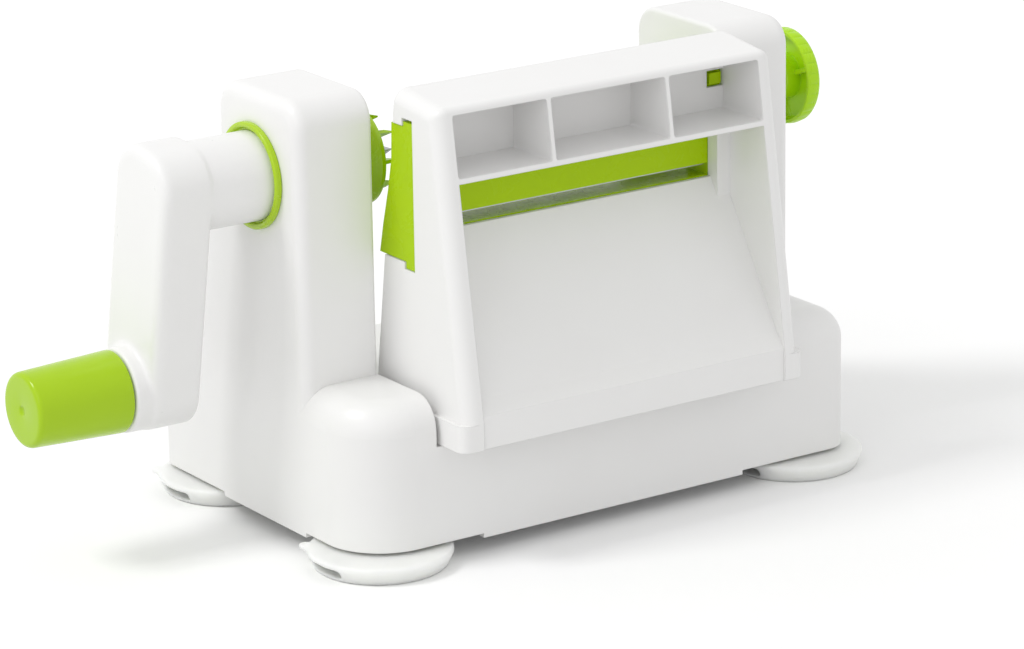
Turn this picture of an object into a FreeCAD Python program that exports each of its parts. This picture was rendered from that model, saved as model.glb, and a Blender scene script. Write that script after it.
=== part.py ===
import FreeCAD, Part
import math
import operator
import os

import Sketcher

# Vegetable sheet slicer: a hand cranked kitchen tool. The vegetable is held between
# two chucks on the spindle axis, which runs along X from the crank (-X) to the tail
# knob (+X). The blade frame slides along Y towards the axis, +Y is the back and the
# sheet leaves down the ramp at the front. Z = 0 is the table under the four feet.

# Driving sizes in mm (angles in degrees). Everything else is worked out from these.
SIZES = {
    # base and towers, one moulding
    "bay_width": 147.0,
    "tower_width": 30.0,
    "base_front": 63.5,
    "base_back": 67.0,
    "corner_left": 22.0,
    "corner_right": 9.0,
    "corner_back": 2.6,
    "rim_height": 7.4,
    "lip_drop": 1.6,
    "lip_foot_gap": 8.0,
    "lip_over_foot": 2.4,
    "deck_height": 42.0,
    "shoulder_step": 16.7,
    "shoulder_round": 11.0,
    "wall": 2.4,
    "tower_front": 28.0,
    "tower_back": 24.0,
    "tower_height": 157.5,
    "tower_waist_drop": 23.5,
    "tower_heel_inset": 3.0,
    "tower_round": 10.0,
    "tower_edge": 4.5,
    "tower_inner_edge": 1.6,
    "axis_drop": 29.5,
    "tube_wall": 2.2,
    # deck rails that the blade frame hooks under
    "rail_inset": 23.5,
    "rail_stem": 3.0,
    "rail_head_reach": 6.5,
    "rail_head_thick": 2.0,
    "rail_front_inset": 11.5,
    "rail_back_inset": 11.0,
    "tongue_thick": 3.4,
    "slide_gap": 0.4,
    # floor cover and its screws
    "cover_lift": 0.7,
    "cover_thick": 2.4,
    "cover_gap": 0.3,
    "boss_radius": 4.0,
    "boss_inset": 15.5,
    "boss_foot_step": 5.6,
    "screw_radius": 1.5,
    "screw_depth": 12.0,
    "screw_head_radius": 3.0,
    "screw_head_height": 1.7,
    "screw_end_gap": 1.0,
    "recess_half": 1.86,
    "recess_slit": 0.33,
    # suction feet
    "foot_side_inset": 15.5,
    "foot_front_inset": 13.9,
    "foot_rear_inset": 17.4,
    "foot_radius": 25.0,
    "foot_contact": 22.8,
    "foot_height": 6.3,
    "foot_rim": 1.8,
    "foot_edge": 0.6,
    "foot_ring_width": 3.0,
    "foot_cup_width": 9.0,
    "foot_neck": 7.0,
    "foot_stem": 4.0,
    "foot_button": 5.6,
    "foot_button_height": 3.0,
    "foot_tab_place": 19.5,
    "foot_tab_width": 3.8,
    "foot_tab_thick": 1.9,
    "foot_tab_root": 6.0,
    "foot_tab_tip": 19.0,
    "foot_tab_round": 1.52,
    "foot_scoop_low": 1.3,
    "foot_scoop_front": 9.0,
    "foot_scoop_back": 11.0,
    "foot_scoop_round": 1.2,
    # crank side
    "ring_radius": 18.5,
    "ring_proud": 2.4,
    "ring_edge": 1.1,
    "bush_radius": 17.0,
    "bush_nose": 10.0,
    "nose_proud": 0.8,
    "hub_radius": 15.5,
    "hub_length": 25.2,
    "hub_insert": 18.0,
    "run_fit": 0.08,
    "press_gap": 0.05,
    "end_play": 0.3,
    "arm_thick": 18.7,
    "arm_front": 15.6,
    "arm_back": 18.8,
    "arm_head": 15.6,
    "arm_foot": 14.8,
    "arm_head_round": 14.0,
    "arm_foot_round": 14.4,
    "arm_edge": 3.6,
    "arm_inner_edge": 0.8,
    "crank_radius": 71.6,
    "crank_swing": 10.5,
    "shaft_radius": 6.0,
    "shaft_grip": 11.0,
    "lead": 0.6,
    "washer_thick": 1.4,
    "washer_radius": 9.5,
    # grip
    "neck_radius": 14.8,
    "neck_length": 5.3,
    "grip_gap": 0.5,
    "grip_length": 35.6,
    "grip_small": 13.1,
    "grip_large": 14.5,
    "grip_edge": 2.2,
    "grip_dimple": 2.0,
    "pin_radius": 4.0,
    "pin_reach": 24.0,
    "pin_groove": 0.8,
    "pin_groove_place": 18.0,
    "pin_groove_width": 2.2,
    "pin_lead": 0.8,
    "pin_end_gap": 1.0,
    "lip_gap": 0.35,
    "lip_end_gap": 0.4,
    "dimple_depth": 0.8,
    # chucks
    "chuck_radius": 17.0,
    "chuck_hub": 11.0,
    "chuck_depth": 10.0,
    "chuck_rim": 1.6,
    "chuck_rim_slope": 1.2,
    "chuck_rim_step": 1.0,
    "chuck_edge": 0.5,
    "chuck_dish": 2.2,
    "chuck_dish_slope": 1.6,
    "tooth_length": 7.5,
    "tooth_thick": 1.6,
    "tooth_inner": 8.5,
    "tooth_outer": 14.2,
    "tooth_root": 0.6,
    "tooth_slope": 1.2,
    "tooth_tip_outer": 0.8,
    "tooth_tip_inner": 1.8,
    "tooth_count": 8.0,
    "spike_radius": 2.3,
    "spike_length": 14.0,
    "spike_shank": 8.4,
    "spike_flange": 6.8,
    "spike_flange_thick": 1.6,
    "spike_thread": 1.9,
    "spike_thread_length": 9.0,
    # tail side
    "nut_radius": 11.0,
    "nut_flange": 14.0,
    "nut_proud": 1.6,
    "spindle_radius": 6.0,
    "thread_depth": 0.9,
    "thread_pitch": 4.0,
    "journal_radius": 4.0,
    "tail_setback": 6.0,
    "tail_lead": 0.8,
    "tail_hole_depth": 10.0,
    "tail_head_over": 2.4,
    "tail_head_gap": 0.4,
    "tail_head_sink": 0.5,
    "tail_recess_half": 2.2,
    "tail_recess_slit": 0.44,
    "tail_chuck_radius": 15.0,
    "tail_chuck_depth": 6.6,
    "knob_reach": 22.1,
    "knob_radius": 17.7,
    "knob_thick": 5.8,
    "knob_flats": 30.0,
    "knob_wall": 2.4,
    "knob_rim_wall": 2.2,
    "knob_boss": 8.0,
    "knob_boss_reach": 2.6,
    "knob_rib": 2.0,
    "knob_rib_reach": 1.2,
    # blade frame
    "frame_side_gap": 3.5,
    "frame_foot_gap": 1.5,
    "frame_foot_round": 4.0,
    "frame_rise": 32.0,
    "frame_brow_drop": 3.0,
    "frame_knee_rise": 9.4,
    "frame_top_front": 60.9,
    "frame_top_back": 37.0,
    "frame_waist": 21.8,
    "frame_foot_front": 77.2,
    "frame_foot_height": 10.0,
    "frame_foot_back": 22.0,
    "frame_edge": 5.0,
    "post_width": 6.7,
    "outlet_rise": 3.8,
    "shelf_thick": 1.8,
    "post_step": 5.5,
    "post_front": 45.3,
    "brow_thick": 5.4,
    "pocket_corner": 1.0,
    "pocket_wall": 1.6,
    "rib_thick": 1.6,
    "rib_spacing": 49.0,
    "crest_drop": 0.4,
    "ramp_lip_rise": 7.2,
    "ramp_foot_inset": 4.6,
    "ramp_drop": 5.6,
    "beam_thick": 3.4,
    "beam_recess": 0.9,
    "beam_recess_rise": 2.2,
    "ledge_thick": 2.6,
    "side_wall": 3.0,
    # cassette and blade
    "cassette_front": 39.5,
    "cassette_rise": 20.0,
    "cassette_drop": 27.0,
    "cassette_inset": 0.5,
    "plate_thick": 3.3,
    "plate_reach": 7.3,
    "plate_step": 1.5,
    "plate_over": 1.6,
    "plate_slit": 1.3,
    "plate_under": 2.4,
    "cassette_gap": 0.2,
    "cassette_heel": 24.8,
    "cassette_low": 27.1,
    "cassette_low_rise": 1.0,
    "cassette_mid": 30.7,
    "cassette_mid_drop": 4.0,
    "cassette_high": 33.1,
    "cassette_high_rise": 7.0,
    "cassette_back": 33.7,
    "slot_drop": 18.0,
    "slot_height": 4.2,
    "blade_thick": 0.8,
    "blade_width": 16.5,
    "blade_bevel": 1.8,
    "blade_end_gap": 0.3,
    "blade_seat": 1.5,
    "blade_recess_half": 1.5,
    "blade_recess_slit": 0.36,
    "blade_recess_depth": 0.9,
    "blade_screw_spacing": 45.0,
    "blade_screw_inset": 6.5,
    "catch_width": 5.0,
    "catch_height": 4.0,
    "catch_proud": 2.0,
    "catch_inset": 3.6,
    "catch_rise": 16.7,
    "window_margin": 1.0,
}

ROUND = 360.0
BEYOND = 5.0  # how far a cutting shape runs past what it cuts
BITE = 1.0  # how far one shape runs into another that it is joined to
PARALLEL = 0.999  # cosine above which an edge counts as lying along an axis
SLOPE_STRETCH = 1.15  # a wall's level thickness on a tower's sloped back over its true one

doc = FreeCAD.newDocument("SheetSlicer")
sheet = doc.addObject("Spreadsheet::Sheet", "Sizes")
for row, (alias, value) in enumerate(SIZES.items(), start=1):
    sheet.set(f"A{row}", str(value))
    sheet.setAlias(f"A{row}", alias)
doc.recompute()

OPERATIONS = {"+": operator.add, "-": operator.sub, "*": operator.mul, "/": operator.truediv}


class Size:
    """A number with the formula that gives it from the sheet's cells."""

    def __init__(self, number, formula):
        self.number = number
        self.formula = formula

    def __add__(self, other):
        return combined(self, "+", other)

    def __radd__(self, other):
        return combined(other, "+", self)

    def __sub__(self, other):
        return combined(self, "-", other)

    def __rsub__(self, other):
        return combined(other, "-", self)

    def __mul__(self, other):
        return combined(self, "*", other)

    def __rmul__(self, other):
        return combined(other, "*", self)

    def __truediv__(self, other):
        return combined(self, "/", other)

    def __neg__(self):
        return combined(0.0, "-", self)


def as_size(value):
    """Give a plain number the form of a Size."""
    if isinstance(value, Size):
        return value
    return Size(float(value), repr(float(value)))


def combined(first, sign, second):
    first, second = as_size(first), as_size(second)
    number = OPERATIONS[sign](first.number, second.number)
    return Size(number, f"({first.formula} {sign} {second.formula})")


class Cells:
    """The sheet's cells as attributes, such as cells.bay_width."""


cells = Cells()
for alias, value in SIZES.items():
    setattr(cells, alias, Size(value, f"Sizes.{alias}"))


def bind(obj, name, value):
    obj.setExpression(name, as_size(value).formula)


def box(name, x, y, z):
    """A block between two values along each axis."""
    obj = doc.addObject("Part::Box", name)
    for side, place, (low, high) in zip(("Length", "Width", "Height"), "xyz", (x, y, z)):
        bind(obj, side, as_size(high) - low)
        bind(obj, f"Placement.Base.{place}", low)
    return obj


def rod(name, axis, radius, low, high, centre=(0.0, 0.0)):
    """A cylinder along X or Z; centre gives its place on the other two axes."""
    obj = doc.addObject("Part::Cylinder", name)
    bind(obj, "Radius", radius)
    bind(obj, "Height", as_size(high) - low)
    if axis == "x":
        obj.Placement.Rotation = FreeCAD.Rotation(FreeCAD.Vector(0, 1, 0), 90)
        places = {"x": low, "y": centre[0], "z": centre[1]}
    else:
        places = {"x": centre[0], "y": centre[1], "z": low}
    for place, value in places.items():
        bind(obj, f"Placement.Base.{place}", value)
    return obj


def fused(name, *shapes):
    obj = doc.addObject("Part::MultiFuse", name)
    obj.Shapes = list(shapes)
    obj.Refine = True
    return obj


def cut(name, base, *tools):
    obj = doc.addObject("Part::Cut", name)
    obj.Base = base
    obj.Tool = tools[0] if len(tools) == 1 else fused(name + "_tools", *tools)
    obj.Refine = True
    return obj


def grouped(name, shapes):
    """Separate solids that make one node."""
    obj = doc.addObject("Part::Compound", name)
    obj.Links = shapes
    return obj


def sine(angle):
    return Size(math.sin(math.radians(angle.number)), f"sin({angle.formula})")


def cosine(angle):
    return Size(math.cos(math.radians(angle.number)), f"cos({angle.formula})")


def new_body(name):
    return doc.addObject("PartDesign::Body", name)


def origin_part(body, role):
    return next(part for part in body.Origin.OriginFeatures if part.Role == role)


def outline(body, name, role, points, offset=None):
    """A closed sketch of straight edges on one of the body's origin planes."""
    sketch = body.newObject("Sketcher::SketchObject", name)
    sketch.AttachmentSupport = [(origin_part(body, role), "")]
    sketch.MapMode = "FlatFace"
    if offset is not None:
        bind(sketch, "AttachmentOffset.Base.z", offset)
    points = [(as_size(across), as_size(up)) for across, up in points]
    corners = [FreeCAD.Vector(across.number, up.number, 0) for across, up in points]
    count = len(corners)
    for index, corner in enumerate(corners):
        sketch.addGeometry(Part.LineSegment(corner, corners[(index + 1) % count]), False)
    for index in range(count):
        sketch.addConstraint(Sketcher.Constraint("Coincident", index, 2, (index + 1) % count, 1))
    for index, (across, up) in enumerate(points):
        for kind, value, axis in (("DistanceX", across, -2), ("DistanceY", up, -1)):
            if value.number == 0.0:
                sketch.addConstraint(Sketcher.Constraint("PointOnObject", index, 1, axis))
                continue
            place = Sketcher.Constraint(kind, -1, 1, index, 1, value.number)
            number = sketch.addConstraint(place)
            sketch.setExpression(f"Constraints[{number}]", value.formula)
    return sketch


def disc(body, name, role, radius, centre, offset):
    """A circle sketch on one of the body's origin planes."""
    sketch = body.newObject("Sketcher::SketchObject", name)
    sketch.AttachmentSupport = [(origin_part(body, role), "")]
    sketch.MapMode = "FlatFace"
    bind(sketch, "AttachmentOffset.Base.z", offset)
    middle = FreeCAD.Vector(0, as_size(centre).number, 0)
    sketch.addGeometry(Part.Circle(middle, FreeCAD.Vector(0, 0, 1), radius.number), False)
    number = sketch.addConstraint(Sketcher.Constraint("Radius", 0, radius.number))
    sketch.setExpression(f"Constraints[{number}]", radius.formula)
    sketch.addConstraint(Sketcher.Constraint("PointOnObject", 0, 3, -2))
    if middle.y == 0.0:
        sketch.addConstraint(Sketcher.Constraint("PointOnObject", 0, 3, -1))
    else:
        place = Sketcher.Constraint("DistanceY", -1, 1, 0, 3, middle.y)
        number = sketch.addConstraint(place)
        sketch.setExpression(f"Constraints[{number}]", as_size(centre).formula)
    return sketch


def pad(body, name, sketch, length, midplane=False):
    feature = body.newObject("PartDesign::Pad", name)
    feature.Profile = sketch
    bind(feature, "Length", length)
    feature.Midplane = midplane
    return feature


def softened(body, name, feature, radius, wanted):
    """A PartDesign fillet on the edges of a feature that pass the test."""
    doc.recompute()
    edges = feature.Shape.Edges
    names = [f"Edge{number}" for number, edge in enumerate(edges, start=1) if wanted(edge)]
    fillet = body.newObject("PartDesign::Fillet", name)
    fillet.Base = (feature, names)
    bind(fillet, "Radius", radius)
    return fillet


def rounded_block(name, x, y, z, *choices):
    """A block with rounded edges: each choice is a radius and a test of an edge."""
    body = new_body(name)
    corners = [(x[0], y[0]), (x[1], y[0]), (x[1], y[1]), (x[0], y[1])]
    plan = outline(body, name + "_plan", "XY_Plane", corners, z[0])
    feature = pad(body, name + "_pad", plan, as_size(z[1]) - z[0])
    for number, (radius, wanted) in enumerate(choices):
        feature = softened(body, f"{name}_round_{number}", feature, radius, wanted)
    return body


def turned(name, points, role="X_Axis"):
    """A body turned about X (points are along, radius) or Z (points are radius, up)."""
    body = new_body(name)
    sketch = outline(body, name + "_profile", "XZ_Plane", points)
    turn = body.newObject("PartDesign::Revolution", name + "_turn")
    turn.Profile = sketch
    turn.ReferenceAxis = (origin_part(body, role), [""])
    turn.Angle = ROUND
    return body


def middle_of(edge):
    return edge.valueAt((edge.FirstParameter + edge.LastParameter) / 2)


def near(value, target, slack=0.02):
    return abs(value - as_size(target).number) < slack


def runs_along(edge, axis):
    """True for a straight edge along x, y or z."""
    if edge.Curve.TypeId != "Part::GeomLine":
        return False
    ends = edge.Vertexes[-1].Point - edge.Vertexes[0].Point
    return abs(getattr(ends.normalize(), axis)) > PARALLEL


# Derived places. The origin is at the bottom centre of everything: halfway between the
# grip's outer end and the knob, and between the frame's front foot and the rear feet.
bay_half = cells.bay_width / 2
tower_out = bay_half + cells.tower_width
shoulder_height = cells.deck_height + cells.shoulder_step
axis_height = cells.tower_height - cells.axis_drop
foot_x = tower_out - cells.foot_side_inset
foot_front = cells.base_front - cells.foot_front_inset
foot_rear = cells.base_back - cells.foot_rear_inset
arm_inner = tower_out + cells.hub_length
arm_outer = arm_inner + cells.arm_thick
grip_inner = arm_outer + cells.neck_length + cells.grip_gap
grip_outer = grip_inner + cells.grip_length
knob_outer = tower_out + cells.knob_reach
place_x = (grip_outer - knob_outer) / 2
place_y = (cells.frame_foot_front - foot_rear - cells.foot_radius) / 2
grip_y = cells.crank_radius * sine(cells.crank_swing)
grip_z = axis_height - cells.crank_radius * cosine(cells.crank_swing)

nodes = []


def finished(obj, node, y=0.0, z=0.0, swing=None):
    """Name a sub-part and put it in the part's own frame."""
    obj.Label = node
    if swing is not None:
        obj.Placement.Rotation = FreeCAD.Rotation(FreeCAD.Vector(1, 0, 0), swing.number)
        bind(obj, "Placement.Rotation.Angle", swing)
    for place, value in (("x", place_x), ("y", place_y + y), ("z", as_size(z))):
        bind(obj, f"Placement.Base.{place}", value)
    nodes.append(obj)


# Base housing: rounded block, open channel between its two shoulders, a tower on each
# end and a hollow of even wall thickness open to the floor.
def base_block(name, inset, low):
    """The block with its corners and shoulders rounded, or its hollow."""
    half_x = tower_out - inset
    front, back = -cells.base_front + inset, cells.base_back - inset
    top = shoulder_height - inset

    def at_corner(edge, x, y):
        place = edge.CenterOfMass
        return runs_along(edge, "z") and near(place.x, x) and near(place.y, y)

    return rounded_block(
        name, (-half_x, half_x), (front, back), (low, top),
        (cells.corner_left - inset, lambda edge: at_corner(edge, -half_x, front)),
        (cells.corner_right - inset, lambda edge: at_corner(edge, half_x, front)),
        (cells.shoulder_round - inset,
         lambda edge: near(edge.CenterOfMass.z, top) and edge.CenterOfMass.y < back.number - BITE),
        (cells.corner_back - inset,
         lambda edge: near(edge.CenterOfMass.y, back) and edge.CenterOfMass.z > low.number + BITE),
    )


def tower(name, side, inset, low):
    """One tower with its sloped back and rounded top, or its hollow."""
    inner, outer = bay_half + inset, tower_out - inset
    ends = (inner, outer) if side > 0 else (-outer, -inner)
    front, back = -cells.tower_front + inset, cells.tower_back - inset
    top = cells.tower_height - inset
    heel = cells.base_back - cells.tower_heel_inset - inset * SLOPE_STRETCH
    waist = cells.tower_height - cells.tower_waist_drop - inset / 2
    flank, bay_side = side * outer, side * inner
    body = new_body(name)
    profile = outline(body, name + "_profile", "YZ_Plane", [
        (front, low), (front, top), (back, top), (back, waist),
        (heel, shoulder_height - inset), (heel, low)], ends[0])
    feature = pad(body, name + "_pad", profile, outer - inner)

    def crown(edge):
        return runs_along(edge, "x") and near(edge.CenterOfMass.z, top)

    def flank_outline(edge):
        place = edge.CenterOfMass
        heel_line = near(place.y, heel) and runs_along(edge, "z")
        return near(place.x, flank) and place.z > low.number + BITE and not heel_line

    def bay_outline(edge):
        return near(edge.CenterOfMass.x, bay_side) and near(edge.CenterOfMass.z, top)

    rounds = [(cells.tower_round - inset, crown), (cells.tower_edge - inset, flank_outline)]
    if not inset.number:
        rounds.append((cells.tower_inner_edge, bay_outline))
    for step, (radius, wanted) in enumerate(rounds):
        feature = softened(body, f"{name}_round_{step}", feature, radius, wanted)
    return body


lip_bottom = cells.rim_height - cells.lip_drop
deck_under = cells.deck_height - cells.wall
cover_bottom = cells.rim_height + cells.cover_lift
cover_top = cover_bottom + cells.cover_thick
above_all = cells.tower_height + BEYOND
no_inset = as_size(0.0)
lip_half_length = foot_x - cells.foot_radius - cells.lip_foot_gap
lip_front = foot_front - cells.foot_radius + cells.lip_over_foot
lip_back = foot_rear - cells.foot_radius + cells.lip_over_foot

block = base_block("base_form", no_inset, lip_bottom)
past_front, past_back = -cells.base_front - BEYOND, cells.base_back + BEYOND
channel = box("channel", (-bay_half, bay_half), (past_front, past_back),
              (cells.deck_height, above_all))
reliefs = []
for x_side in (-1, 1):
    for y_side in (-1, 1):
        along = sorted((x_side * lip_half_length, x_side * (tower_out + BEYOND)),
                       key=lambda size: size.number)
        across = (past_front, -lip_front) if y_side < 0 else (lip_back, past_back)
        name = f"rim_relief_{len(reliefs)}"
        reliefs.append(box(name, along, across, (lip_bottom - BEYOND, cells.rim_height)))
form = cut("base_cut_form", block, channel, *reliefs)
towers = [tower(f"tower_{word}", side, no_inset, deck_under)
          for word, side in (("left", -1), ("right", 1))]
outer_form = fused("housing_form", form, *towers)

hollow_block = base_block("base_hollow", cells.wall, lip_bottom - BEYOND)
channel_hollow = box("channel_hollow", (-bay_half - cells.wall, bay_half + cells.wall),
                     (past_front, past_back), (deck_under, above_all))
hollow = cut("hollow_form", hollow_block, channel_hollow)
tower_hollows = [tower(f"tower_hollow_{word}", side, cells.wall, deck_under - BEYOND)
                 for word, side in (("left", -1), ("right", 1))]
hollows = fused("hollows", hollow, *tower_hollows)
shell = cut("housing_shell", outer_form, hollows)

axis_centre = (0.0, axis_height)
bush_hole = cells.bush_radius + cells.press_gap
nose_hole = cells.bush_nose + cells.press_gap
nut_hole = cells.nut_radius + cells.press_gap
bush_tube = rod("bush_tube", "x", bush_hole + cells.tube_wall,
                -tower_out + cells.wall / 2, -bay_half - cells.wall / 2, axis_centre)
nut_tube = rod("nut_tube", "x", nut_hole + cells.tube_wall,
               bay_half + cells.wall / 2, tower_out - cells.wall / 2, axis_centre)
boss_x = bay_half - cells.boss_inset
boss_places = [(x_side * boss_x, y)
               for x_side in (-1, 0, 1)
               for y in (cells.boss_foot_step - foot_front, foot_rear - cells.boss_foot_step)]
bosses = [rod(f"boss_{number}", "z", cells.boss_radius, cover_top,
              deck_under + cells.wall / 2, place)
          for number, place in enumerate(boss_places)]
rails = []
rail_base = cells.deck_height - cells.wall / 2
rail_under = cells.deck_height + cells.slide_gap + cells.tongue_thick + cells.slide_gap
rail_top = rail_under + cells.rail_head_thick
rail_inner = bay_half - cells.rail_inset
for side in (-1, 1):
    stem = sorted((side * rail_inner, side * (rail_inner + cells.rail_stem)),
                  key=lambda size: size.number)
    head = sorted((side * rail_inner, side * (rail_inner + cells.rail_head_reach)),
                  key=lambda size: size.number)
    length = (cells.rail_front_inset - cells.base_front, cells.base_back - cells.rail_back_inset)
    rails.append(box(f"rail_stem_{side + 1}", stem, length, (rail_base, rail_top)))
    rails.append(box(f"rail_head_{side + 1}", head, length, (rail_under, rail_top)))
solid_housing = fused("housing_solid", shell, bush_tube, nut_tube, *bosses, *rails)

holes = [
    rod("bush_bore", "x", bush_hole, -tower_out - BEYOND, -bay_half - cells.wall, axis_centre),
    rod("nose_bore", "x", nose_hole, -bay_half - cells.wall - BEYOND, -bay_half + BEYOND,
        axis_centre),
    rod("nut_bore", "x", nut_hole, bay_half - BEYOND, tower_out + BEYOND, axis_centre),
]
holes += [rod(f"boss_bore_{number}", "z", cells.screw_radius, cover_top - BEYOND,
              cover_top + cells.screw_depth, place)
          for number, place in enumerate(boss_places)]
housing = cut("housing", solid_housing, *holes)
finished(housing, "base_housing")

# Floor cover: a flat plate inside the rim, screwed to six bosses under the deck.
cover_inset = cells.wall + cells.cover_gap
cover_half = tower_out - cover_inset
cover_front, cover_back = -cells.base_front + cover_inset, cells.base_back - cover_inset
cover_form = rounded_block(
    "cover_form", (-cover_half, cover_half), (cover_front, cover_back), (cover_bottom, cover_top),
    (cells.corner_left - cover_inset,
     lambda edge: runs_along(edge, "z") and near(edge.CenterOfMass.x, -cover_half)
     and near(edge.CenterOfMass.y, cover_front)),
    (cells.corner_right - cover_inset,
     lambda edge: runs_along(edge, "z") and near(edge.CenterOfMass.x, cover_half)
     and near(edge.CenterOfMass.y, cover_front)))
foot_places = [(-foot_x, -foot_front, "foot_front_left"), (foot_x, -foot_front, "foot_front_right"),
               (-foot_x, foot_rear, "foot_rear_left"), (foot_x, foot_rear, "foot_rear_right")]
stem_hole = cells.foot_stem + cells.press_gap
cover_holes = [rod(f"stem_hole_{number}", "z", stem_hole, cover_bottom - BEYOND,
                   cover_top + BEYOND, (x, y))
               for number, (x, y, label) in enumerate(foot_places)]
cover_holes += [rod(f"screw_hole_{number}", "z", cells.screw_radius, cover_bottom - BEYOND,
                    cover_top + BEYOND, place)
                for number, place in enumerate(boss_places)]
finished(cut("cover", cover_form, *cover_holes), "bottom_cover")

# Six pan head screws that hold the cover.
head_bottom = cover_bottom - cells.screw_head_height
recess_top = cover_bottom - cells.screw_head_height / 2
cross_half = cells.recess_half
cross_wide = cells.recess_slit
screw_end = cover_top + cells.screw_depth - cells.screw_end_gap
cover_screws = []
for number, (x, y) in enumerate(boss_places):
    form = turned(f"cover_screw_form_{number}", [
        (0.0, head_bottom),
        (cells.screw_head_radius - cells.screw_head_height / 2, head_bottom),
        (cells.screw_head_radius, recess_top),
        (cells.screw_head_radius, cover_bottom),
        (cells.screw_radius - cells.press_gap, cover_bottom),
        (cells.screw_radius - cells.press_gap, screw_end),
        (0.0, screw_end),
    ], "Z_Axis")
    recess = [box(f"cover_recess_x_{number}", (-cross_half, cross_half), (-cross_wide, cross_wide),
                  (head_bottom - BITE, recess_top)),
              box(f"cover_recess_y_{number}", (-cross_wide, cross_wide), (-cross_half, cross_half),
                  (head_bottom - BITE, recess_top))]
    screw = cut(f"cover_screw_{number}", form, *recess)
    bind(screw, "Placement.Base.x", x)
    bind(screw, "Placement.Base.y", y)
    cover_screws.append(screw)
finished(grouped("cover_screw_group", cover_screws), "cover_screws")


# Suction foot: a rubber cup with a rim, a neck under the cover, a stem through it and a
# button above it, and a pull tab that breaks the suction.
def foot(number, x, y, label):
    contact, radius = cells.foot_contact, cells.foot_radius
    rim_low = cells.foot_height - cells.foot_rim
    button_low = cover_top + cells.press_gap
    button_top = button_low + cells.foot_button_height
    profile = [
        (0.0, cells.foot_height / 2),
        (contact - cells.foot_cup_width, cells.foot_height / 2 - cells.foot_edge),
        (contact - cells.foot_ring_width, 0.0),
        (contact, 0.0),
        (radius, rim_low),
        (radius, cells.foot_height - cells.foot_edge),
        (radius - cells.foot_edge, cells.foot_height),
        (cells.foot_neck, cells.foot_height),
        (cells.foot_neck, cover_bottom),
        (cells.foot_stem, cover_bottom),
        (cells.foot_stem, button_low),
        (cells.foot_button, button_low),
        (cells.foot_button, button_low + cells.foot_button_height / 3),
        (cells.foot_stem - BITE, button_top),
        (0.0, button_top),
    ]
    cup = turned(f"cup_{number}", profile, "Z_Axis")
    tab_x = (-cells.foot_tab_place - cells.foot_tab_width / 2,
             -cells.foot_tab_place + cells.foot_tab_width / 2)
    tab_low = cells.foot_height - cells.foot_tab_thick
    tab = rounded_block(f"tab_{number}", tab_x, (-cells.foot_tab_root, cells.foot_tab_tip),
                        (tab_low, cells.foot_height),
                        (cells.foot_tab_round, lambda edge: runs_along(edge, "z")
                         and near(edge.CenterOfMass.y, cells.foot_tab_tip)))
    scoop = rounded_block(f"scoop_{number}", (-radius - BEYOND, tab_x[1] + cells.foot_edge),
                          (-cells.foot_scoop_front, cells.foot_scoop_back),
                          (cells.foot_scoop_low, tab_low),
                          (cells.foot_scoop_round, lambda edge: runs_along(edge, "z")))
    body = fused(f"foot_form_{number}", cut(f"cup_cut_{number}", cup, scoop), tab)
    body.Label = label
    for place, value in (("x", place_x + x), ("y", place_y + y)):
        bind(body, f"Placement.Base.{place}", value)
    nodes.append(body)


for number, (x, y, label) in enumerate(foot_places):
    foot(number, x, y, label)

# Drive bush: the green ring on the crank tower. Its barrel carries the crank hub and its
# nose carries the shaft in the inner wall.
hub_bore = cells.hub_radius + cells.run_fit
shaft_bore = cells.shaft_radius + cells.run_fit
hub_end = tower_out - cells.hub_insert
ring_face = tower_out + cells.ring_proud
nose_end = bay_half - cells.nose_proud
bush = turned("bush", [
    (-ring_face, hub_bore),
    (-ring_face, cells.ring_radius),
    (-tower_out, cells.ring_radius),
    (-tower_out, cells.bush_radius),
    (-bay_half - cells.wall, cells.bush_radius),
    (-bay_half - cells.wall, cells.bush_nose),
    (-nose_end, cells.bush_nose),
    (-nose_end, shaft_bore),
    (-hub_end + cells.end_play, shaft_bore),
    (-hub_end + cells.end_play, hub_bore),
])
softened(bush, "ring_edge_round", bush.Tip, cells.ring_edge,
         lambda edge: near(edge.CenterOfMass.x, -ring_face))
finished(bush, "drive_bush", z=axis_height)

# Crank arm: one moulding with its hub and the neck of the grip. It hangs from the
# spindle axis and stands swung a little towards the back.
arm = new_body("arm")
arm_low = -cells.crank_radius - cells.arm_foot
arm_sketch = outline(arm, "arm_outline", "YZ_Plane", [
    (-cells.arm_front, arm_low), (cells.arm_back, arm_low),
    (cells.arm_back, cells.arm_head), (-cells.arm_front, cells.arm_head)], -arm_outer)
arm_pad = pad(arm, "arm_pad", arm_sketch, cells.arm_thick)
arm_top = softened(arm, "arm_top_round", arm_pad, cells.arm_head_round,
                   lambda edge: runs_along(edge, "x") and edge.CenterOfMass.z > 0.0)
arm_bottom = softened(arm, "arm_bottom_round", arm_top, cells.arm_foot_round,
                      lambda edge: runs_along(edge, "x") and near(edge.CenterOfMass.z, arm_low))
arm_front = softened(arm, "arm_outer_edge", arm_bottom, cells.arm_edge,
                     lambda edge: near(edge.CenterOfMass.x, -arm_outer))
softened(arm, "arm_inner_edge", arm_front, cells.arm_inner_edge,
         lambda edge: near(edge.CenterOfMass.x, -arm_inner))
hub_start = -arm_outer + cells.arm_edge + BITE
hub_sketch = disc(arm, "hub_circle", "YZ_Plane", cells.hub_radius, 0.0, hub_start)
pad(arm, "hub_pad", hub_sketch, -hub_end - hub_start)
neck_face = -arm_outer - cells.neck_length
neck_sketch = disc(arm, "neck_circle", "YZ_Plane", cells.neck_radius, -cells.crank_radius,
                   neck_face)
pad(arm, "neck_pad", neck_sketch, cells.neck_length + cells.arm_edge + BITE)
shaft_start = -arm_outer + cells.shaft_grip
pin_centre = (0.0, -cells.crank_radius)
pin_start = -arm_inner - cells.wall
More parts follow.
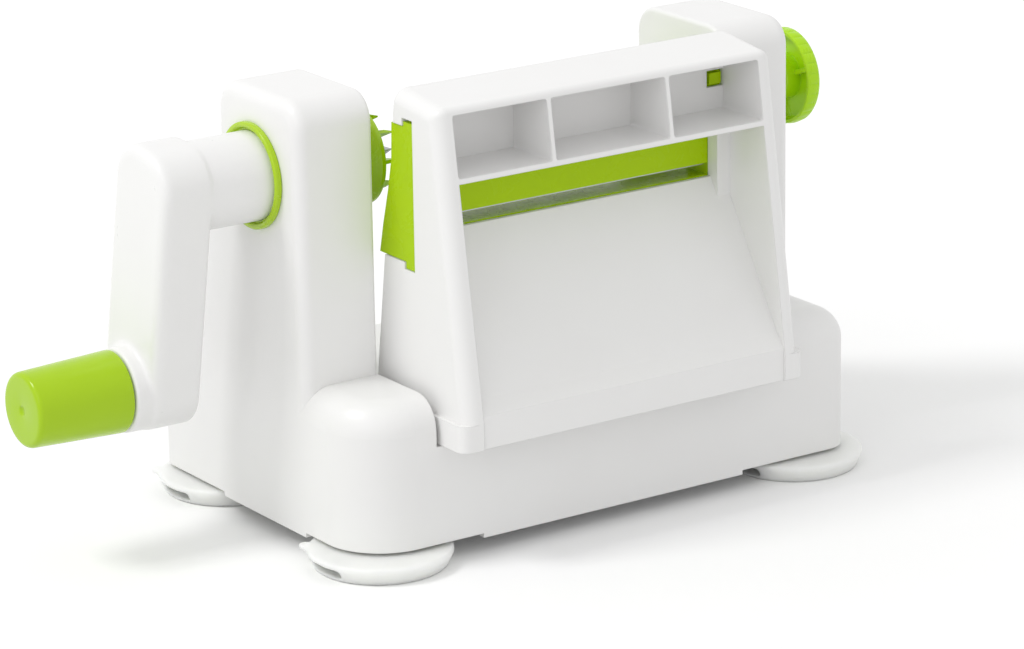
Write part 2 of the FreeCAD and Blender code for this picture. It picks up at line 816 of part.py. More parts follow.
shaft_seat = rod("shaft_seat", "x", cells.shaft_radius, shaft_start, -hub_end + BEYOND)
pin_seat = rod("pin_seat", "x", cells.pin_radius, neck_face - BEYOND, pin_start, pin_centre)
finished(cut("crank", arm, shaft_seat, pin_seat), "crank_arm", z=axis_height,
         swing=cells.crank_swing)

# Drive shaft, its thrust washer and the green toothed chuck with a steel centre spike.
washer_back = -nose_end + cells.end_play
chuck_back = washer_back + cells.washer_thick
chuck_face = chuck_back + cells.chuck_depth
chuck_floor = chuck_face - cells.chuck_dish
spike_end = chuck_floor - cells.spike_thread_length
shaft = turned("shaft", [
    (shaft_start, 0.0),
    (shaft_start, cells.shaft_radius - cells.lead),
    (shaft_start + cells.lead, cells.shaft_radius),
    (chuck_floor, cells.shaft_radius),
    (chuck_floor, cells.spike_thread),
    (spike_end, cells.spike_thread),
    (spike_end, 0.0),
])
finished(shaft, "drive_shaft", z=axis_height)
washer = turned("washer", [
    (washer_back, cells.shaft_radius),
    (washer_back, cells.washer_radius),
    (chuck_back, cells.washer_radius),
    (chuck_back, cells.shaft_radius),
])
finished(washer, "drive_washer", z=axis_height)


def toothed_chuck(name, back, facing, radius, depth, bore, seat_radius=None, seat_depth=None):
    """A dished disc with a ring of teeth; facing is the side that the teeth point to."""
    face = back + facing * depth
    floor = face - facing * cells.chuck_dish
    rim_back = face - facing * cells.chuck_rim
    points = [
        (back, bore),
        (back, cells.chuck_hub),
        (rim_back - facing * cells.chuck_rim_slope, radius - cells.chuck_rim_step),
        (rim_back, radius),
        (face - facing * cells.chuck_edge, radius),
        (face, radius - cells.chuck_edge),
        (face, radius - cells.chuck_rim),
        (floor, radius - cells.chuck_rim - cells.chuck_dish_slope),
    ]
    if seat_radius is None:
        points.append((floor, bore))
    else:
        seat = floor - facing * seat_depth
        points += [(floor, seat_radius), (seat, seat_radius), (seat, bore)]
    body = turned(name, points)
    scale = radius / cells.chuck_radius
    root = floor - facing * cells.tooth_root
    outer = cells.tooth_outer * scale
    tooth = outline(body, name + "_tooth", "XZ_Plane", [
        (root, cells.tooth_inner * scale),
        (root, outer),
        (face + facing * (cells.tooth_length - cells.tooth_slope), outer - cells.tooth_tip_outer),
        (face + facing * cells.tooth_length, outer - cells.tooth_tip_inner),
    ])
    tooth_pad = pad(body, name + "_tooth_pad", tooth, cells.tooth_thick, midplane=True)
    doc.recompute()
    ring = body.newObject("PartDesign::PolarPattern", name + "_ring")
    ring.Originals = [tooth_pad]
    ring.Axis = (origin_part(body, "X_Axis"), [""])
    ring.Angle = ROUND
    bind(ring, "Occurrences", cells.tooth_count)
    body.Tip = ring
    return body


drive_chuck = toothed_chuck("drive_chuck_body", chuck_back, 1, cells.chuck_radius,
                            cells.chuck_depth, cells.shaft_radius)
finished(drive_chuck, "drive_chuck", z=axis_height)
flange_face = chuck_floor + cells.spike_flange_thick
spike_thread = cells.spike_thread - cells.press_gap
spike = turned("spike", [
    (spike_end + cells.screw_end_gap, 0.0),
    (spike_end + cells.screw_end_gap, spike_thread),
    (chuck_floor, spike_thread),
    (chuck_floor, cells.spike_flange),
    (flange_face, cells.spike_flange),
    (flange_face, cells.spike_radius),
    (flange_face + cells.spike_shank, cells.spike_radius),
    (flange_face + cells.spike_length, 0.0),
])
finished(spike, "drive_spike", z=axis_height)

# Grip: a tapered handle that turns on a pin set in the arm and snaps over its groove.
pin_end = -grip_inner - cells.pin_reach
groove_from = -grip_inner - cells.pin_groove_place
groove_to = groove_from - cells.pin_groove_width
groove_radius = cells.pin_radius - cells.pin_groove
pin = turned("pin", [
    (pin_start, 0.0),
    (pin_start, cells.pin_radius),
    (groove_from, cells.pin_radius),
    (groove_from, groove_radius),
    (groove_to, groove_radius),
    (groove_to, cells.pin_radius),
    (pin_end + cells.pin_lead, cells.pin_radius),
    (pin_end, cells.pin_radius - cells.pin_lead),
    (pin_end, 0.0),
])
finished(pin, "grip_pin", y=grip_y, z=grip_z)

bore = cells.pin_radius + cells.run_fit
lip_bore = groove_radius + cells.lip_gap
bore_end = pin_end - cells.pin_end_gap
lip_from = groove_from - cells.lip_end_gap
lip_to = groove_to + cells.lip_end_gap
grip = turned("grip", [
    (-grip_inner, bore),
    (-grip_inner, cells.grip_large),
    (-grip_outer, cells.grip_small),
    (-grip_outer, 0.0),
    (bore_end, 0.0),
    (bore_end, bore),
    (lip_to, bore),
    (lip_to, lip_bore),
    (lip_from, lip_bore),
    (lip_from, bore),
])
softened(grip, "grip_ends", grip.Tip, cells.grip_edge,
         lambda edge: edge.BoundBox.ZLength > cells.grip_small.number)
dimple_wide = cells.grip_dimple / 2
dimple = box("grip_mark", (-grip_outer - BITE, cells.dimple_depth - grip_outer),
             (-dimple_wide, dimple_wide), (-cells.grip_dimple, cells.grip_dimple))
finished(cut("grip_form", grip, dimple), "handle_grip", y=grip_y, z=grip_z,
         swing=cells.crank_swing)

# Tail side: a white nut fixed through both walls of the right tower.
nut_bore = cells.spindle_radius + cells.run_fit
nut_face = tower_out + cells.nut_proud
nut_inner = bay_half - cells.nose_proud
nut = turned("nut", [
    (nut_inner, nut_bore),
    (nut_inner, cells.nut_radius),
    (tower_out, cells.nut_radius),
    (tower_out, cells.nut_flange),
    (nut_face, cells.nut_flange),
    (nut_face, nut_bore),
])
finished(nut, "tail_nut", z=axis_height)

# Tail spindle: a coarse screw with a plain journal for the tail chuck.
shoulder = bay_half - cells.tail_setback
tail_washer_face = shoulder - cells.end_play
tail_back = tail_washer_face - cells.washer_thick - cells.end_play
tail_face = tail_back - cells.tail_chuck_depth
tail_floor = tail_face + cells.chuck_dish
seat_depth = cells.chuck_dish
seat_floor = tail_floor + seat_depth
journal_end = seat_floor - cells.end_play
knob_inner = knob_outer - cells.knob_thick
boss_end = knob_inner - cells.knob_boss_reach
spindle_end = knob_outer - seat_depth - cells.knob_wall
tail_screw_hole = cells.journal_radius / 2
hole_depth = cells.tail_hole_depth
spindle = turned("spindle", [
    (journal_end, tail_screw_hole),
    (journal_end, cells.journal_radius),
    (shoulder, cells.journal_radius),
    (shoulder, cells.spindle_radius - cells.tail_lead),
    (shoulder + cells.tail_lead, cells.spindle_radius),
    (spindle_end, cells.spindle_radius),
    (spindle_end, tail_screw_hole),
    (spindle_end - hole_depth, tail_screw_hole),
    (spindle_end - hole_depth, 0.0),
    (journal_end + hole_depth, 0.0),
    (journal_end + hole_depth, tail_screw_hole),
])
thread_start = shoulder + cells.thread_pitch / 2
groove_half = cells.thread_pitch / 4
groove_sketch = outline(spindle, "thread_profile", "XZ_Plane", [
    (thread_start - groove_half, cells.spindle_radius + BITE),
    (thread_start - groove_half, cells.spindle_radius),
    (thread_start - groove_half / 3, cells.spindle_radius - cells.thread_depth),
    (thread_start + groove_half / 3, cells.spindle_radius - cells.thread_depth),
    (thread_start + groove_half, cells.spindle_radius),
    (thread_start + groove_half, cells.spindle_radius + BITE),
])
doc.recompute()
groove = spindle.newObject("PartDesign::Groove", "thread_groove")
groove.Profile = groove_sketch
groove.ReferenceAxis = (origin_part(spindle, "X_Axis"), [""])
groove.Angle = ROUND
doc.recompute()
thread = spindle.newObject("PartDesign::LinearPattern", "thread")
thread.Originals = [groove]
thread.Direction = (origin_part(spindle, "X_Axis"), [""])
thread_length = boss_end - cells.thread_pitch - thread_start
bind(thread, "Length", thread_length)
turns = math.floor(thread_length.number / cells.thread_pitch.number)
turns_formula = f"floor({thread_length.formula} / {cells.thread_pitch.formula})"
bind(thread, "Occurrences", Size(turns, turns_formula) + 1)
spindle.Tip = thread
finished(spindle, "tail_spindle", z=axis_height)

tail_bore = cells.journal_radius + cells.run_fit
tail_washer = turned("tail_washer_body", [
    (tail_washer_face - cells.washer_thick, tail_bore),
    (tail_washer_face - cells.washer_thick, cells.washer_radius),
    (tail_washer_face, cells.washer_radius),
    (tail_washer_face, tail_bore),
])
finished(tail_washer, "tail_washer", z=axis_height)

head_radius = cells.journal_radius + cells.tail_head_over
head_seat = head_radius + cells.tail_head_gap
tail_chuck = toothed_chuck("tail_chuck_body", tail_back, -1, cells.tail_chuck_radius,
                           cells.tail_chuck_depth, tail_bore, head_seat, seat_depth)
finished(tail_chuck, "tail_chuck", z=axis_height)


def pan_screw(name, underside, facing, head_radius, head_height, shank_radius, length):
    """A pan head screw along X; facing is the side that its shank points to."""
    top = underside - facing * head_height
    return turned(name, [
        (top, 0.0),
        (top, head_radius - head_height / 2),
        (top + facing * head_height / 2, head_radius),
        (underside, head_radius),
        (underside, shank_radius),
        (underside + facing * length, shank_radius),
        (underside + facing * length, 0.0),
    ])


def crossed(name, body, end, facing, reach, width, depth):
    """A cross recess in the head of a screw that lies along X."""
    ends = sorted((end - facing * BITE, end + facing * depth), key=lambda size: size.number)
    upright = box(name + "_upright", ends, (-width, width), (-reach, reach))
    level = box(name + "_level", ends, (-reach, reach), (-width, width))
    return cut(name, body, upright, level)


screw_fit = tail_screw_hole - cells.press_gap
head_height = seat_depth - cells.tail_head_sink
chuck_screw = pan_screw("chuck_screw_body", journal_end, 1, head_radius, head_height, screw_fit,
                        hole_depth - cells.screw_end_gap)
chuck_screw = crossed("chuck_screw", chuck_screw, journal_end - head_height, 1,
                      cells.tail_recess_half, cells.tail_recess_slit, head_height / 2)
finished(chuck_screw, "tail_chuck_screw", z=axis_height)

# Tail knob: a green disc with thirty shallow flats, hollow on the tower side round a boss.
rim = doc.addObject("Part::Prism", "knob_rim")
rim.Polygon = int(cells.knob_flats.number)
bind(rim, "Polygon", cells.knob_flats)
bind(rim, "Circumradius", cells.knob_radius)
bind(rim, "Height", cells.knob_thick)
rim.Placement.Rotation = FreeCAD.Rotation(FreeCAD.Vector(0, 1, 0), 90)
bind(rim, "Placement.Base.x", knob_inner)
knob_hollow = rod("knob_hollow", "x", cells.knob_radius - cells.knob_rim_wall,
                  knob_inner - BEYOND, knob_outer - cells.knob_wall)
knob_boss = rod("knob_boss_rod", "x", cells.knob_boss, boss_end, knob_outer - cells.knob_wall / 2)
knob_bore = rod("knob_bore", "x", cells.spindle_radius, boss_end - BEYOND, spindle_end)
knob_hole = rod("knob_screw_hole", "x", tail_screw_hole, boss_end, knob_outer + BEYOND)
knob_seat = rod("knob_screw_seat", "x", head_seat, knob_outer - seat_depth, knob_outer + BEYOND)
knob_cup = cut("knob_cup", rim, knob_hollow)
rib_ends = (knob_inner + cells.knob_rib_reach, knob_outer - cells.knob_wall / 2)
rib_long = cells.knob_radius - cells.knob_wall
rib_thin = cells.knob_rib / 2
knob_ribs = [box("knob_rib_level", rib_ends, (-rib_long, rib_long), (-rib_thin, rib_thin)),
             box("knob_rib_upright", rib_ends, (-rib_thin, rib_thin), (-rib_long, rib_long))]
knob = cut("knob", fused("knob_form", knob_cup, knob_boss, *knob_ribs), knob_bore, knob_hole,
           knob_seat)
finished(knob, "tail_knob", z=axis_height)
knob_screw_seat = knob_outer - seat_depth
knob_screw = pan_screw("knob_screw_body", knob_screw_seat, -1, head_radius, head_height,
                       screw_fit, cells.knob_wall + hole_depth - cells.screw_end_gap)
knob_screw = crossed("knob_screw_cut", knob_screw, knob_screw_seat + head_height, -1,
                     cells.tail_recess_half, cells.tail_recess_slit, head_height / 2)
finished(knob_screw, "knob_screw", z=axis_height)

# Blade frame: one moulding with a crossbar of three pockets, the sheet outlet, the ramp,
# two side walls and a foot whose flanges hook under the deck rails.
frame_half = bay_half - cells.frame_side_gap
open_half = frame_half - cells.post_width
gate_half = open_half - cells.post_step
frame_bottom = cells.deck_height + cells.slide_gap
frame_knee = frame_bottom + cells.frame_knee_rise
frame_top = axis_height + cells.frame_rise
frame_brow = frame_top - cells.frame_brow_drop
outlet_top = axis_height + cells.outlet_rise
slot_floor = axis_height - cells.slot_drop
cassette_top = axis_height + cells.cassette_rise
cassette_bottom = axis_height - cells.cassette_drop
ramp_crest = slot_floor - cells.crest_drop
ramp_lip = frame_knee + cells.ramp_lip_rise
ramp_foot = cells.frame_foot_front - cells.ramp_foot_inset
pocket_back = cells.cassette_front + cells.cassette_gap + cells.pocket_wall
foot_top = frame_bottom + cells.frame_foot_height
far_front = -cells.frame_foot_front - BEYOND
slot_front = -cells.cassette_front - cells.cassette_gap
foot_half = bay_half - cells.frame_foot_gap
inside_foot = -cells.frame_foot_front + cells.beam_thick
frame = new_body("frame_solid")
profile = outline(frame, "frame_profile", "YZ_Plane", [
    (inside_foot, frame_bottom),
    (inside_foot, frame_knee - BITE),
    (-cells.frame_foot_front, frame_knee),
    (-cells.frame_top_front, frame_brow),
    (-cells.frame_top_back, frame_top),
    (-cells.frame_waist, foot_top),
    (cells.frame_foot_back, foot_top),
    (cells.frame_foot_back, frame_bottom),
], -frame_half)
frame_pad = pad(frame, "frame_pad", profile, frame_half * 2)


def on_front_side(edge):
    """The outer edges of the front and the top of the frame's sides."""
    middle = middle_of(edge)
    if not near(abs(middle.x), frame_half) or middle.z < foot_top.number:
        return False
    return middle.y < -cells.frame_top_front.number or middle.z > frame_brow.number


def top_front(edge):
    return runs_along(edge, "x") and near(edge.CenterOfMass.z, frame_brow)


sides_eased = softened(frame, "frame_sides", frame_pad, cells.frame_edge, on_front_side)
softened(frame, "frame_brow_edge", sides_eased, cells.frame_edge / 2, top_front)
wide_foot = rounded_block(
    "wide_foot", (-foot_half, foot_half), (-cells.frame_foot_front, cells.frame_foot_back),
    (frame_bottom, frame_knee),
    (cells.frame_foot_round, lambda edge: runs_along(edge, "z")
     and near(edge.CenterOfMass.y, -cells.frame_foot_front)))
frame_form = fused("frame_form", frame, wide_foot)

ramp_slope = (ramp_crest - ramp_lip) / (ramp_foot - pocket_back)
post_foot = ramp_lip + (ramp_foot - cells.post_front) * ramp_slope
outlet = new_body("outlet")
beam_front = -cells.frame_foot_front + cells.beam_recess
beam_top = frame_knee + cells.beam_recess_rise
outlet_sketch = outline(outlet, "outlet_profile", "YZ_Plane", [
    (far_front, beam_top),
    (beam_front, beam_top),
    (-ramp_foot, ramp_lip),
    (-cells.post_front, post_foot),
    (-cells.post_front, outlet_top),
    (far_front, outlet_top),
], -open_half)
pad(outlet, "outlet_pad", outlet_sketch, open_half * 2)
gate = new_body("gate")
gate_sketch = outline(gate, "gate_profile", "YZ_Plane", [
    (-cells.post_front - BITE, post_foot - ramp_slope * BITE),
    (-pocket_back, ramp_crest),
    (slot_front + BEYOND, ramp_crest),
    (slot_front + BEYOND, outlet_top),
    (-cells.post_front - BITE, outlet_top),
], -gate_half)
pad(gate, "gate_pad", gate_sketch, gate_half * 2)
beam_face = box("beam_face", (-open_half, open_half), (far_front, beam_front),
                (frame_bottom - BEYOND, beam_top))

slot_bottom = cassette_bottom - cells.cassette_gap
ledge_under = slot_bottom - cells.ledge_thick
beam_back = -cells.frame_foot_front + cells.beam_thick
under_front = ramp_lip + (beam_back + ramp_foot) * ramp_slope - cells.ramp_drop
meets_ledge = -ramp_foot + (ledge_under + cells.ramp_drop - ramp_lip) / ramp_slope
tongue_top = frame_bottom + cells.tongue_thick
under = new_body("under_ramp")
under_half = frame_half - cells.side_wall
under_sketch = outline(under, "under_profile", "YZ_Plane", [
    (beam_back, tongue_top),
    (beam_back, under_front),
    (meets_ledge, ledge_under),
    (cells.frame_foot_back + BEYOND, ledge_under),
    (cells.frame_foot_back + BEYOND, tongue_top),
], -under_half)
pad(under, "under_pad", under_sketch, under_half * 2)
tongue_half = rail_inner + cells.rail_stem + cells.slide_gap
between = box("between_tongues", (-tongue_half, tongue_half),
              (beam_back, cells.frame_foot_back + BEYOND), (frame_bottom - BEYOND, tongue_top + BITE))

plate_out = frame_half - cells.cassette_inset
plate_in = plate_out - cells.plate_thick
cassette_end = open_half - cells.cassette_gap
slot_top = cassette_top + cells.cassette_gap
slot = box("cassette_slot", (-plate_in - cells.cassette_gap, open_half), (slot_front, BEYOND),
           (slot_bottom, slot_top))
gap = cells.cassette_gap
plate_front = cells.cassette_front + cells.plate_reach
plate_step = cells.cassette_front + cells.plate_step
plate_top = cassette_top + cells.plate_over
plate_bottom = cassette_bottom - cells.plate_under
plate_opening = new_body("plate_opening")
opening_sketch = outline(plate_opening, "opening_profile", "YZ_Plane", [
    (BEYOND, slot_bottom),
    (BEYOND, slot_top),
    (-plate_step + gap, slot_top),
    (-plate_step + gap, plate_top + cells.plate_slit),
    (-plate_front - gap, plate_top + cells.plate_slit),
    (-plate_front - gap, plate_bottom - gap),
    (-plate_step + gap, plate_bottom - gap),
    (-plate_step + gap, slot_bottom),
], -frame_half - BEYOND)
pad(plate_opening, "opening_pad", opening_sketch, frame_half + BEYOND - plate_in + gap)


def pocket(name, low, high):
    """A pocket cutter with rounded corners, open to the front."""
    floor = outlet_top + cells.shelf_thick
    return rounded_block(name, (low, high), (far_front, -pocket_back),
                         (floor, frame_top - cells.brow_thick),
                         (cells.pocket_corner, lambda edge: runs_along(edge, "y")))


rib_half = cells.rib_thick / 2
rib_place = cells.rib_spacing / 2
pocket_ends = ((-open_half, -rib_place - rib_half), (-rib_place + rib_half, rib_place - rib_half),
               (rib_place + rib_half, open_half))
pockets = [pocket(f"pocket_{number}", *ends) for number, ends in enumerate(pocket_ends)]
catch_x = open_half - cells.catch_inset
catch_z = axis_height + cells.catch_rise
catch_low = catch_z - cells.catch_height / 2
catch_high = catch_z + cells.catch_height / 2
catch_left = catch_x - cells.catch_width / 2
catch_right = catch_x + cells.catch_width / 2
margin = cells.window_margin
window = box("window", (catch_left - margin, catch_right + margin),
             (-pocket_back - BITE, slot_front + BITE), (catch_low - margin, catch_high + margin))
finished(cut("blade_frame_form", frame_form, outlet, gate, beam_face, under, between, slot,
             plate_opening, window, *pockets), "blade_frame")

# Blade cassette: a green bar with an end plate on the left, a slot for the sheet under
# its blade and a catch that shows in the frame's window.
blade_top = slot_floor + cells.slot_height
rear_line = [
    (-cells.cassette_heel, cassette_bottom),
    (-cells.cassette_low, slot_floor + cells.cassette_low_rise),
    (-cells.cassette_mid, axis_height - cells.cassette_mid_drop),
    (-cells.cassette_high, axis_height + cells.cassette_high_rise),
    (-cells.cassette_back, cassette_top),
]
cassette = new_body("cassette")
bar_sketch = outline(cassette, "bar_profile", "YZ_Plane", [
    (-cells.cassette_front, cassette_bottom), *rear_line,
    (-cells.cassette_front, cassette_top)], -plate_in - BITE)
pad(cassette, "bar_pad", bar_sketch, plate_in + BITE + cassette_end)
plate_sketch = outline(cassette, "plate_profile", "YZ_Plane", [
    (-plate_front, plate_bottom),
    (-plate_step, plate_bottom),
    (-plate_step, cassette_bottom), *rear_line,
    (-plate_step, cassette_top),
    (-plate_step, plate_top),
    (-plate_front, plate_top)], -plate_out)
pad(cassette, "plate_pad", plate_sketch, cells.plate_thick)
catch = box("catch", (catch_left, catch_right),
            (-cells.cassette_front - cells.catch_proud, BITE - cells.cassette_front),
            (catch_low, catch_high))
sheet_slot = box("sheet_slot", (-gate_half, gate_half), (-cells.cassette_front - BEYOND, BEYOND),
                 (slot_floor, blade_top))
blade_bottom = blade_top - cells.blade_thick
screw_places = [(-cells.blade_screw_spacing, 0), (as_size(0.0), 1), (cells.blade_screw_spacing, 2)]
screw_row = -cells.cassette_front + cells.blade_screw_inset
sink_depth = cells.screw_head_radius - cells.screw_radius


def sunk_form(name, x, spare, length):
    """A countersunk screw pointing up from the blade's underside, or its hole."""
    wide = cells.screw_head_radius + spare
    thin = cells.screw_radius + spare
    form = turned(name, [
        (0.0, 0.0),
        (wide, 0.0),
        (thin, sink_depth),
        (thin, length),
        (0.0, length),
    ], "Z_Axis")
    for place, value in (("x", x), ("y", screw_row), ("z", blade_bottom)):
        bind(form, f"Placement.Base.{place}", value)
    return form


cassette_holes = [sunk_form(f"cassette_hole_{number}", x, cells.press_gap, cells.screw_depth)
                  for x, number in screw_places]
finished(cut("cassette_form", fused("cassette_solid", cassette, catch), sheet_slot,
             *cassette_holes), "blade_cassette")

# Steel blade with its edge towards the vegetable, bevelled on the sheet's side.
blade = new_body("blade")
blade_half = gate_half - cells.blade_end_gap
blade_front = cells.blade_seat - cells.cassette_front
blade_edge = blade_front + cells.blade_width
blade_sketch = outline(blade, "blade_profile", "YZ_Plane", [
    (blade_front, blade_bottom),
    (blade_edge - cells.blade_bevel, blade_bottom),
    (blade_edge, blade_top),
    (blade_front, blade_top),
], -blade_half)
pad(blade, "blade_pad", blade_sketch, blade_half * 2)
blade_holes = [sunk_form(f"blade_hole_{number}", x, cells.press_gap, cells.screw_depth)
               for x, number in screw_places]
finished(cut("blade_form", blade, *blade_holes), "cutting_blade")

blade_screws = []
for x, number in screw_places:
    form = sunk_form(f"blade_screw_form_{number}", x, no_inset,
                     cells.screw_depth - cells.screw_end_gap)
    reach = cells.blade_recess_half
    width = cells.blade_recess_slit
    heights = (blade_bottom - BITE, blade_bottom + cells.blade_recess_depth)
    recess = [box(f"blade_recess_x_{number}", (x - reach, x + reach),
                  (screw_row - width, screw_row + width), heights),
              box(f"blade_recess_y_{number}", (x - width, x + width),
                  (screw_row - reach, screw_row + reach), heights)]
    blade_screws.append(cut(f"blade_screw_{number}", form, *recess))
finished(grouped("blade_screw_group", blade_screws), "blade_screws")

doc.recompute()
failed = [obj.Name for obj in doc.Objects if {"Invalid", "Error"} & set(obj.State)]
for obj in nodes:
    if obj.Shape.isNull() or not obj.Shape.isValid() or not obj.Shape.Solids:
        failed.append(obj.Label)
if failed:
    raise RuntimeError("failed: " + ", ".join(failed))
os.makedirs("parts", exist_ok=True)
for obj in nodes:
    obj.Shape.exportStep(f"parts/{obj.Label}.step")
    bounds = obj.Shape.BoundBox
    print(f"{obj.Label:18} solids {len(obj.Shape.Solids)}  volume {obj.Shape.Volume:10.1f}  "
          f"x {bounds.XMin:7.2f} {bounds.XMax:7.2f}  y {bounds.YMin:7.2f} {bounds.YMax:7.2f}  "
          f"z {bounds.ZMin:7.2f} {bounds.ZMax:7.2f}")
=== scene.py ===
import math

import bmesh
import bpy
from mathutils import Matrix, Vector


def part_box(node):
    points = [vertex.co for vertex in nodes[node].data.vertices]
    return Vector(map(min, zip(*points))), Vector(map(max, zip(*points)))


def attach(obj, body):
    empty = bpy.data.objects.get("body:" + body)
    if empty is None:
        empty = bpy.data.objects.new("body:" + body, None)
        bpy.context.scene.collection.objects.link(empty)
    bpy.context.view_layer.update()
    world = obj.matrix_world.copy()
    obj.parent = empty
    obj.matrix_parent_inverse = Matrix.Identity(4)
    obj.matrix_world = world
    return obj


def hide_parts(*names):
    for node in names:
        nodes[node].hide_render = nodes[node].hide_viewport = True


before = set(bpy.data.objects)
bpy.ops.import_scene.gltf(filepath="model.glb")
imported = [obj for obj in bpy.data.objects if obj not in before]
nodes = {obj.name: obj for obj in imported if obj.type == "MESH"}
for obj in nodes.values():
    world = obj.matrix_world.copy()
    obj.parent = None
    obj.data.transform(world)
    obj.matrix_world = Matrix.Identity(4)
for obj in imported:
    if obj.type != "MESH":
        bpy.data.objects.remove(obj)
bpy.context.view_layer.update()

# Base housing: one injection moulding in white ABS, a rounded block with an open
# channel between two towers. It leaves a polished tool, so it is smooth with a soft
# gloss and a faint waviness, and its edges are slightly rounded.
MM = 0.001
ABS_IOR = 1.53
WHITE_ABS = "#F1F1F0"
WHITE_ABS_SHADE = "#EDECEB"
TONE_PATCH = 45.0
SMEAR_PATCH = 13.0
SMEAR_GLOSS = (-0.05, 0.07)
NOISE_SPAN = {1: 0.3, 2: 0.7}


def linear(colour):
    """An sRGB hex colour as linear RGBA."""
    values = [int(colour[place:place + 2], 16) / 255 for place in (1, 3, 5)]
    return [v / 12.92 if v <= 0.04045 else ((v + 0.055) / 1.055) ** 2.4 for v in values] + [1.0]


def add(tree, kind, inputs=None, **settings):
    """A node with its settings, and its inputs set to a value or linked to a socket."""
    node = tree.nodes.new(kind)
    for name, value in settings.items():
        setattr(node, name, value)
    for name, value in (inputs or {}).items():
        if isinstance(value, bpy.types.NodeSocket):
            tree.links.new(value, node.inputs[name])
        else:
            node.inputs[name].default_value = value
    return node


def moulded_plastic(name, colour, shade, roughness, wave=7.0, grain=0.0, relief=0.012, soft=0.35,
                    shine=0.5):
    """Injection moulded plastic: wave is the spacing in mm of the slight waviness that a
    moulded skin has, grain that of a spark eroded texture, relief the height of both, soft
    the rounding of its edges in mm and shine how strongly it mirrors. Handling varies its
    gloss in smears."""
    material = bpy.data.materials.new(name)
    material.use_nodes = True
    tree = material.node_tree
    tree.nodes.clear()
    place = add(tree, "ShaderNodeTexCoord").outputs["Object"]
    broad = add(tree, "ShaderNodeTexNoise", {"Vector": place, "Scale": 1 / (TONE_PATCH * MM),
                                             "Detail": 3.0, "Roughness": 0.55})
    tone = add(tree, "ShaderNodeMix", {0: broad.outputs[0], 6: linear(colour), 7: linear(shade)},
               data_type="RGBA")
    smear = add(tree, "ShaderNodeTexNoise", {"Vector": place, "Scale": 1 / (SMEAR_PATCH * MM),
                                             "Detail": 5.0, "Roughness": 0.65, "Distortion": 0.6})
    gloss = add(tree, "ShaderNodeMapRange", {0: smear.outputs[0], **NOISE_SPAN,
                                             3: roughness + SMEAR_GLOSS[0],
                                             4: roughness + SMEAR_GLOSS[1]})
    waves = add(tree, "ShaderNodeTexNoise", {"Vector": place, "Scale": 1 / (wave * MM),
                                             "Detail": 2.0})
    height = waves.outputs[0]
    if grain:
        pits = add(tree, "ShaderNodeTexNoise", {"Vector": place, "Scale": 1 / (grain * MM),
                                                "Detail": 2.0, "Roughness": 0.6})
        both = add(tree, "ShaderNodeMath", {0: height, 1: pits.outputs[0]}, operation="ADD")
        height = both.outputs[0]
    bump = add(tree, "ShaderNodeBump", {"Strength": 1.0, "Distance": relief * MM, "Height": height})
    if soft:
        edge = add(tree, "ShaderNodeBevel", {"Radius": soft * MM}, samples=6)
        tree.links.new(edge.outputs[0], bump.inputs["Normal"])
    shader = add(tree, "ShaderNodeBsdfPrincipled", {
        "Base Color": tone.outputs[2], "Roughness": gloss.outputs[0], "IOR": ABS_IOR,
        "Normal": bump.outputs[0], "Specular IOR Level": shine})
    add(tree, "ShaderNodeOutputMaterial", {"Surface": shader.outputs[0]})
    return material


def dress(node, material):
    """Give a CAD node its finished material."""
    for place in nodes[node].material_slots:
        place.material = material


# White ABS from a polished tool: a clean neutral white with a soft broad gloss.
white_abs = moulded_plastic("white_abs_moulded", WHITE_ABS, WHITE_ABS_SHADE, roughness=0.34)
dress("base_housing", white_abs)

# Floor cover: a flat moulding in the same ABS with a fine spark eroded texture, because
# it isn't seen in use. It lies inside the rim and closes the base from below.
# The texture, drawn at 0.9 mm, takes the gloss away, so the cover looks matt.
cover_abs = moulded_plastic("white_abs_textured", "#E6E6E5", "#DFDFDE", roughness=0.5,
                            grain=0.9, relief=0.05)
dress("bottom_cover", cover_abs)

# Cover screws: six pan head screws of zinc plated steel with a cross recess, cold headed
# and rolled. They hold the floor cover to the bosses under the deck.
SCREW_HEAD = 3.0
SCREW_HEAD_HEIGHT = 1.7
SCREW_SHANK = 1.45
SCREW_POINT = 1.5
SCREW_ROUND = 0.4
SCREW_STEPS = 32
RECESS_DEPTH = 0.9
PAN_RECESS = (1.8, 0.33)
STEEL_SHADE = "#8F9194"
STEEL_CLOUD = 4.0
STEEL_EDGE = 0.15
STEEL_GLOSS = (-0.06, 0.08)
LONGEST_EASE = 0.45
ON_AXIS = 1e-6
CRISP = 35
SEED = 4


def eased(points, radius, steps=5):
    """An outline of (along, out) points in mm with its inner corners rounded by arcs.
    A corner whose runs are short gets a smaller radius."""
    points = [Vector(point) for point in points]
    result = [points[0]]
    for before, corner, after in zip(points, points[1:], points[2:]):
        first, second = (before - corner), (after - corner)
        half_turn = first.angle(second) / 2
        reach = min(radius / math.tan(half_turn), LONGEST_EASE * first.length,
                    LONGEST_EASE * second.length)
        start, end = corner + first.normalized() * reach, corner + second.normalized() * reach
        for step in range(steps + 1):
            share = step / steps
            left = 1 - share
            result.append(left ** 2 * start + 2 * share * left * corner + share ** 2 * end)
    return result + [points[-1]]


